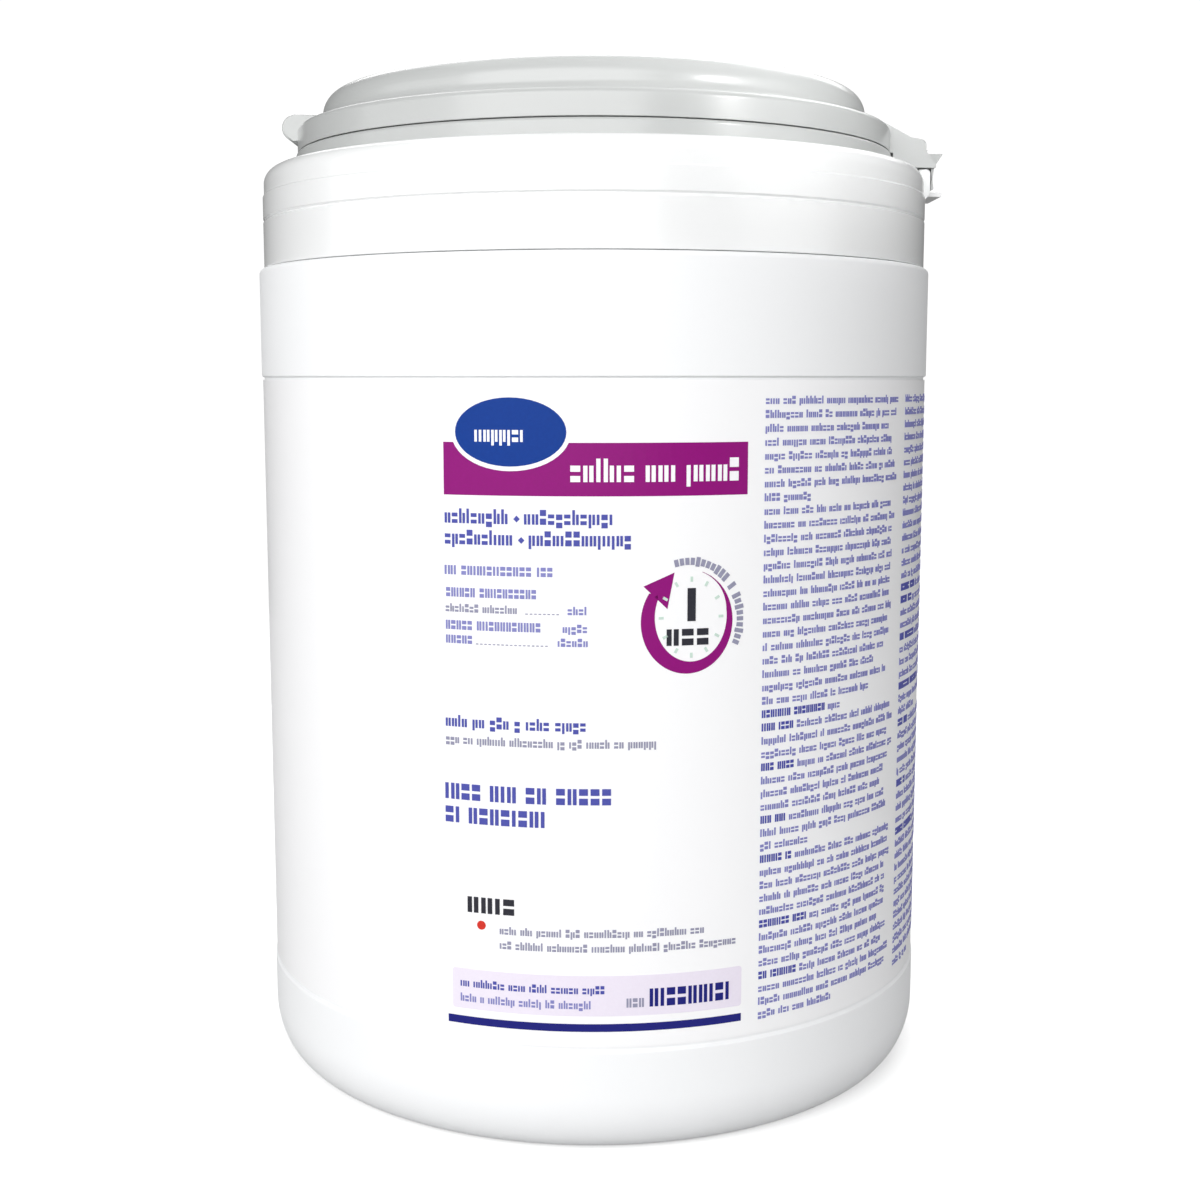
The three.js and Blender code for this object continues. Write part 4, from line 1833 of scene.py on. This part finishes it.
@dataclass
class DispensingCap:
    """Cap: grooved skirt, shoulder, deck, seat ring, nozzle with a star of slits, hinge pad."""

    skirt_bottom: float = 144.82
    skirt_radius: float = 60.3
    skirt_inner: float = 59.0
    groove: float = 153.2
    groove_half: float = 0.35
    groove_depth: float = 0.4
    step: float = 157.6
    upper_radius: float = 60.05
    deck_bottom: float = 159.9
    deck_top: float = 161.4
    rim_top: float = 162.3
    rim_outer: float = 57.35
    rim_inner: float = 56.35
    seat_outer: float = 54.2
    seat_inner: float = 52.6
    seat_top: float = 165.2
    nozzle_base: float = 18.0
    nozzle_top: float = 11.5
    membrane_top: float = 166.6
    membrane: float = 0.9
    orifice: float = 3.0
    slit_reach: float = 9.3
    slit_width: float = 0.7
    slits: int = 6
    slit_low: float = 162.5
    slit_high: float = 168.0
    rim_round: float = 2.6
    seal_outer: float = 56.3
    seal_inner: float = 55.0
    seal_bottom: float = 156.9
    bead_top: float = 149.2
    bead_bottom: float = 147.4
    bead_depth: float = 0.35
    pad_half_width: float = 10.0
    pad_root: float = 2.0
    pad_bottom: float = 156.55
    pad_top: float = 162.5
    bar_half_width: float = 6.0
    bar_end: float = 63.2
    bar_bottom: float = 158.05
    bar_top: float = 158.85

    def outline(self) -> list[Point]:
        """Gives the cap's closed outline: outside, deck and nozzle, then seal and inner wall.

        Returns:
            Its (radius, height) points.
        """
        skirt, groove, half = self.skirt_radius, self.groove, self.groove_half
        deck, low = self.deck_top, self.deck_bottom
        under = self.membrane_top - self.membrane
        inner, bead = self.skirt_inner, self.bead_depth
        outside = [
            (skirt, self.skirt_bottom, 0.25),
            (skirt, groove - half, 0.12),
            (skirt - self.groove_depth, groove - half / 3, 0.1),
            (skirt - self.groove_depth, groove + half / 3, 0.1),
            (skirt, groove + half, 0.12),
            (skirt, self.step - 0.25, 0.15),
            (self.upper_radius, self.step, 0.15),
            *quarter(
                (self.rim_outer, self.rim_top - self.rim_round),
                self.upper_radius - self.rim_outer,
                self.rim_round,
                0,
                90,
                12,
            ),
            (self.rim_inner + 0.2, self.rim_top, 0.25),
            (self.rim_inner, deck, 0.3),
        ]
        deck_side = [
            (self.seat_outer, deck, 0.4),
            (self.seat_outer, self.seat_top, 0.65),
            (self.seat_inner, self.seat_top, 0.35),
            (self.seat_inner, deck, 0.5),
            (self.nozzle_base, deck, 1.4),
            (self.nozzle_top + 0.35, self.membrane_top, 0.8),
            (self.nozzle_top - self.membrane, self.membrane_top, 0.4),
            (self.nozzle_top - self.membrane - 0.5, self.membrane_top - 0.5, 0.5),
            (self.orifice, self.membrane_top, 0.3),
            (self.orifice, under, 0.2),
            (self.nozzle_top - 1.4, under - 0.5, 0.4),
            (self.nozzle_base - 1.2, low, 0.8),
        ]
        inside = [
            (self.seal_inner, low, 0.4),
            (self.seal_inner, self.seal_bottom, 0.4),
            (self.seal_outer, self.seal_bottom, 0.3),
            (self.seal_outer, low, 0.2),
            (inner, low, 0.3),
            (inner, self.bead_top, 0.15),
            (inner - bead, self.bead_top - bead, 0.2),
            (inner - bead, self.bead_bottom + bead, 0.2),
            (inner, self.bead_bottom, 0.15),
            (inner, self.skirt_bottom, 0.2),
        ]
        return rounded([*outside, *deck_side, *inside])

    def star(self) -> Piece:
        """Builds the cutter for the star of slits.

        Returns:
            The cutter, deeper than the membrane.
        """
        half = self.slit_width / 2
        notch = half / math.sin(math.pi / self.slits)
        corners: list[Point] = []
        for k in range(self.slits):
            angle = math.tau * k / self.slits
            side = Vector((-math.sin(angle), math.cos(angle))) * half
            tip = Vector((math.cos(angle), math.sin(angle))) * self.slit_reach
            corners += [tuple(tip - side), tuple(tip + side)]
            between = angle + math.pi / self.slits
            corners.append((notch * math.cos(between), notch * math.sin(between)))
        shape = bmesh.new()
        heights = (self.slit_low, self.slit_high)
        rows = [[shape.verts.new((x * MM, y * MM, z * MM)) for x, y in corners] for z in heights]
        shape.faces.new(rows[0])
        shape.faces.new(rows[1])
        for i in range(len(corners)):
            j = (i + 1) % len(corners)
            shape.faces.new((rows[0][i], rows[0][j], rows[1][j], rows[1][i]))
        bmesh.ops.recalc_face_normals(shape, faces=shape.faces)
        return new_object("star", shape)

    def pad(self) -> Piece:
        """Builds the pad that the film grows from.

        Returns:
            The pad.
        """
        face, root = self.skirt_radius, self.skirt_radius - self.pad_root
        outline = [
            (root, self.pad_bottom, 0.0),
            (face - (self.bar_bottom - self.pad_bottom), self.pad_bottom, 0.4),
            (face, self.bar_bottom, 0.3),
            (face, self.pad_top, 0.6),
            (root, self.pad_top, 0.0),
        ]
        return slab("hinge_pad", rounded(outline), self.pad_half_width, 0.35)

    def bar(self) -> Piece:
        """Builds the thin bar that the lid's spur comes down on.

        Returns:
            The bar.
        """
        root = self.skirt_radius - self.pad_root / 2
        outline = [
            (root, self.bar_bottom, 0.0),
            (self.bar_end, self.bar_bottom, 0.2),
            (self.bar_end, self.bar_top, 0.25),
            (root, self.bar_top, 0.0),
        ]
        return slab("stop_bar", rounded(outline), self.bar_half_width, 0.25)

    def build(self) -> Piece:
        """Builds and dresses the cap.

        Returns:
            The cap.
        """
        cap = turned("dispensing_cap", self.outline())
        combined(cap, self.star(), "DIFFERENCE")
        combined(cap, self.pad(), "UNION")
        combined(cap, self.bar(), "UNION")
        placed(smoothed(cap), CAP_PLASTIC, Body.CAP, ["snap_cap"])
        # The seat ring gets the lid's grey, painted shade on the cap's white plastic
        cap.data.materials.append(material_of(CAP_PLASTIC_PAINTED_SHADE))
        low, near, far = self.deck_top + 0.1, self.seat_inner - 0.5, self.seat_outer + 0.5
        for face in cap.data.polygons:
            if face.center.z > low * MM and near * MM < face.center.xy.length < far * MM:
                face.material_index = 1
        return cap


@dataclass
class FlipLid:
    """Round lid: lower tier, round-edged disc with a sunk panel, plug ring, tab and tongue."""

    tier_radius: float = 53.9
    tier_bottom: float = 165.34
    tier_top: float = 169.8
    disc_radius: float = 49.3
    disc_top: float = 176.0
    disc_round: float = 3.9
    foot: float = 2.15
    panel_radius: float = 40.0
    panel_dip: float = 0.6
    wall: float = 1.4
    plug_radius: float = 52.2
    plug_wall: float = 1.3
    plug_depth: float = 2.5
    tab_half_width: float = 11.0
    tab_low: float = 167.3
    tab_high: float = 171.9
    tab_tip: float = 55.6
    tongue_half_width: float = 10.0
    tongue_leg: float = 52.0
    tongue_bottom: float = 162.75
    tongue_lip: float = 61.3
    lip_thickness: float = 0.5
    tongue_end: float = 59.5
    spur_half_width: float = 6.0
    spur_root: float = 58.5
    spur_end: float = 63.2
    spur_top: float = 165.7
    deck_clear: float = 161.4
    ring_clear: float = 54.45
    shell_middle: float = 52.7

    def outline(self) -> list[Point]:
        """Gives the shell's closed outline: underside from the axis outwards, then the outside.

        Returns:
            Its (radius, height) points.
        """
        ceiling = self.disc_top - self.panel_dip - self.wall
        plug_inner = self.plug_radius - self.plug_wall
        plug_low = self.tier_bottom - self.plug_depth
        inner = self.disc_radius - self.wall
        small = self.disc_round - self.wall
        under = [
            (0.0, ceiling, 0.0),
            (self.panel_radius, ceiling, 0.5),
            (self.panel_radius + 1, self.disc_top - self.wall, 0.5),
            *quarter((inner - small, self.disc_top - self.wall - small), small, small, 90, 0, 8),
            (inner, self.tier_top - self.wall, 0.5),
            (plug_inner, self.tier_top - self.wall, 0.5),
            (plug_inner, plug_low, 0.4),
            (self.plug_radius, plug_low, 0.45),
            (self.plug_radius, self.tier_bottom, 0.3),
        ]
        outside = [
            (self.tier_radius, self.tier_bottom, 0.12),
            (self.tier_radius, self.tier_top, 1.1),
            *quarter(
                (self.disc_radius + self.foot, self.tier_top + self.foot),
                self.foot,
                self.foot,
                270,
                180,
                8,
            ),
            *quarter(
                (self.disc_radius - self.disc_round, self.disc_top - self.disc_round),
                self.disc_round,
                self.disc_round,
                0,
                90,
                14,
            ),
            (self.panel_radius + 1, self.disc_top, 0.6),
            (self.panel_radius, self.disc_top - self.panel_dip, 0.6),
            (0.0, self.disc_top - self.panel_dip, 0.0),
        ]
        return rounded([*under, *outside])

    def tab(self) -> Piece:
        """Builds the thumb tab at -X.

        Returns:
            The tab.
        """
        low, high = self.tab_low, self.tab_high
        half = (high - low) / 2
        root = self.disc_radius - self.wall + 0.1
        nose = quarter((self.tab_tip - half, high - half), half, half, -60, 90, 12)
        outline = [(root, low, 0.0), (self.tier_radius - 0.3, low, 0.3), *nose, (root, high, 0.0)]
        mirrored = [(-x, z) for x, z in rounded(outline)]
        return slab("thumb_tab", mirrored[::-1], self.tab_half_width, 0.5)

    def tongue(self) -> Piece:
        """Builds the tongue that runs over the seat ring to the hinge, with its spur.

        Returns:
            The tongue.
        """
        root = self.disc_radius - self.wall + 0.1
        underside = [
            (root, self.tier_bottom, 0.0),
            (self.tongue_leg, self.tier_bottom, 0.0),
            (self.tongue_leg, self.tongue_bottom, 0.0),
            (self.tongue_lip, self.tongue_bottom, 0.2),
            (self.tongue_lip, self.tongue_bottom + self.lip_thickness, 0.2),
            (self.tongue_end, self.spur_top, 0.6),
        ]
        back = [
            (self.tongue_end, 167.6, 1.0),
            (56.7, 168.1, 1.2),
            (53.4, 169.9, 1.0),
            (50.7, 171.2, 0.8),
            (root, 171.7, 0.0),
        ]
        return slab("hinge_tongue", rounded([*underside, *back]), self.tongue_half_width, 0.45)

    def spur(self) -> Piece:
        """Builds the spur at the tongue's end.

        Returns:
            The spur.
        """
        outline = [
            (self.spur_root, self.tongue_bottom, 0.0),
            (self.tongue_lip, self.tongue_bottom, 0.2),
            (self.spur_end, self.spur_top - 0.2, 0.15),
            (self.spur_end, self.spur_top, 0.1),
            (self.spur_root, self.spur_top, 0.0),
        ]
        return slab("spur", rounded(outline), self.spur_half_width, 0.3)

    def hollow(self) -> Piece:
        """Builds the room that tongue and tab leave to the seat ring and the shell's inside.

        Returns:
            The cutter.
        """
        over_ring, ceiling = self.tier_bottom + 0.05, self.tier_top - 0.7
        outline = [
            (0.0, self.deck_clear),
            (self.ring_clear, self.deck_clear),
            (self.ring_clear, over_ring),
            (self.shell_middle, over_ring),
            (self.shell_middle, ceiling),
            (0.0, ceiling),
        ]
        return turned("hollow", outline)

    def build(self) -> Piece:
        """Builds and dresses the lid.

        Returns:
            The lid.
        """
        lid = turned("lid", self.outline())
        hollow = self.hollow()
        lugs = combined(self.tongue(), self.spur(), "UNION")
        lugs = combined(joined([lugs, self.tab()]), hollow, "DIFFERENCE")
        combined(lid, lugs, "UNION")
        # The lid's grey is painted shade on the cap's plastic
        return placed(smoothed(lid), CAP_PLASTIC_PAINTED_SHADE, Body.LID, ["flip_lid"])


@dataclass
class LivingHinge:
    """Strip of film that joins the cap's pad to the lid's tongue, thinnest where it bends."""

    inner: float = 60.6
    outer: float = 61.1
    bottom: float = 159.1
    top: float = 162.7
    half_width: float = 9.0
    waist: float = 0.14
    bend_start: float = 159.4
    bend_end: float = 162.4
    rows: int = 28

    def build(self) -> Piece:
        """Builds and dresses the film.

        Returns:
            The film.
        """
        shape = bmesh.new()
        rings = []
        for row in range(self.rows + 1):
            share = row / self.rows
            height = self.bottom + (self.top - self.bottom) * share
            pinch = self.waist * math.sin(math.pi * share) ** 2
            corners = [
                (self.inner + pinch, -self.half_width),
                (self.outer - pinch, -self.half_width),
                (self.outer - pinch, self.half_width),
                (self.inner + pinch, self.half_width),
            ]
            rings.append([shape.verts.new((x * MM, y * MM, height * MM)) for x, y in corners])
        for ring, following in zip(rings, rings[1:]):
            for k in range(4):
                j = (k + 1) % 4
                shape.faces.new((ring[k], ring[j], following[j], following[k]))
        shape.faces.new(rings[0])
        shape.faces.new(rings[-1])
        bmesh.ops.recalc_face_normals(shape, faces=shape.faces)
        film = smoothed(new_object("hinge_film", shape))
        # The film's grey is painted shade on the cap's plastic
        placed(film, CAP_PLASTIC_PAINTED_SHADE, None, ["living_hinge"])
        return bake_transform(film)


@dataclass
class Lamp:
    """A light of the studio, which faces a point of the canister. Places are in metres."""

    name: str
    place: Place
    power: float
    aim: Place = (0.0, 0.0, 0.09)

    def shine(self, kind: str) -> bpy.types.Light:
        """Places the light.

        Args:
            kind: its type in Blender.

        Returns:
            Its data, with its power set.
        """
        data = bpy.data.lights.new(self.name, kind)
        data.energy = self.power
        light = bpy.data.objects.new(self.name, data)
        light.location = self.place
        way = Vector(self.aim) - Vector(self.place)
        light.rotation_euler = way.to_track_quat("-Z", "Y").to_euler()
        bpy.context.scene.collection.objects.link(light)
        return data


@dataclass
class SoftBox(Lamp):
    """A large flat light."""

    width: float = 1.0
    height: float = 1.0

    def build(self) -> None:
        """Makes the light."""
        data = self.shine("AREA")
        data.shape = "RECTANGLE"
        data.size, data.size_y = self.width, self.height


@dataclass
class Snoot(Lamp):
    """A spot with a narrow tube, which reaches a patch of the given radius round its aim."""

    reach: float = 0.03

    def build(self) -> None:
        """Makes the light."""
        data = self.shine("SPOT")
        data.spot_size = 2 * math.atan(self.reach / math.dist(self.aim, self.place))
        data.spot_blend = 1.0
        data.shadow_soft_size = 0.03


@dataclass
class Studio:
    """Light table, white backdrop in a dim room, soft boxes, and the camera fitted to the rings."""

    floor_radius: float = 0.62
    backdrop: float = 1.05
    room: float = 0.14
    lens: float = 50.76
    camera_place: Place = (0.0, -0.3206, 0.1255)
    pitch_down: float = 7.49
    shift: float = 0.0051

    def floor(self) -> bpy.types.Object:
        """Builds the pale floor.

        Returns:
            The floor.
        """
        shape = bmesh.new()
        bmesh.ops.create_circle(shape, cap_ends=True, segments=96, radius=self.floor_radius)
        floor = new_object("light_table", shape)
        floor.data.materials.append(
            material_of(LightTable("Opal_acrylic_lit", "#F6F6F6", "#B8B8B8", 0.38))
        )
        return floor

    def camera(self) -> bpy.types.Object:
        """Places the camera at the photograph's viewing angle.

        Returns:
            The camera.
        """
        data = bpy.data.cameras.new("camera")
        data.lens = self.lens
        data.sensor_width = 36.0
        data.shift_x = self.shift
        data.clip_start = 0.01
        camera = bpy.data.objects.new("camera", data)
        camera.location = self.camera_place
        camera.rotation_euler = (math.radians(90 - self.pitch_down), 0, 0)
        bpy.context.scene.collection.objects.link(camera)
        bpy.context.scene.camera = camera
        return camera

    def surroundings(self) -> None:
        """Makes the dim room, with a white backdrop where the camera looks past the canister."""
        world = bpy.data.worlds.new("studio")
        world.use_nodes = True
        tree = world.node_tree
        tree.nodes.clear()
        seen = add_node(tree, "ShaderNodeLightPath").outputs["Is Camera Ray"]
        room = add_node(tree, "ShaderNodeBackground", inputs={"Strength": self.room})
        backdrop = add_node(tree, "ShaderNodeBackground", inputs={"Strength": self.backdrop})
        for part in (room, backdrop):
            part.inputs["Color"].default_value = (1.0, 1.0, 1.0, 1.0)
        both = add_node(
            tree,
            "ShaderNodeMixShader",
            inputs={0: seen, 1: room.outputs[0], 2: backdrop.outputs[0]},
        )
        add_node(tree, "ShaderNodeOutputWorld", inputs={"Surface": both.outputs[0]})
        bpy.context.scene.world = world

    def build(self) -> None:
        """Builds the studio."""
        self.floor()
        self.camera()
        self.surroundings()
        lamps = (
            SoftBox("soft_box_front", (-0.3, -1.06, 0.56), 15.6, width=1.6, height=1.0),
            SoftBox("soft_box_left", (-0.95, -0.3, 0.2), 2.4, width=0.8, height=0.8),
            SoftBox("soft_box_right", (1.0, -0.45, 0.35), 1.7, width=0.7, height=0.7),
            SoftBox("soft_box_above", (0.1, 0.2, 1.05), 3.0, width=1.2, height=1.2),
            SoftBox("soft_box_behind", (0.1, 0.82, 0.9), 6.0, width=1.2, height=0.7),
            Snoot("snoot_right", (0.66, -0.56, 0.42), 50.0, (0.036, -0.034, 0.19)),
        )
        for lamp in lamps:
            lamp.build()
        bpy.context.scene.view_settings.view_transform = "Standard"


def main() -> None:
    """Builds every piece in order."""
    logging.basicConfig(level=logging.INFO, format="%(message)s")
    Tub().build()
    WrapLabel().build()
    LabelPrint().build()
    WipesRoll().build()
    LeadingWipe().build()
    DispensingCap().build()
    FlipLid().build()
    LivingHinge().build()
    Studio().build()


if __name__ == "__main__":
    main()
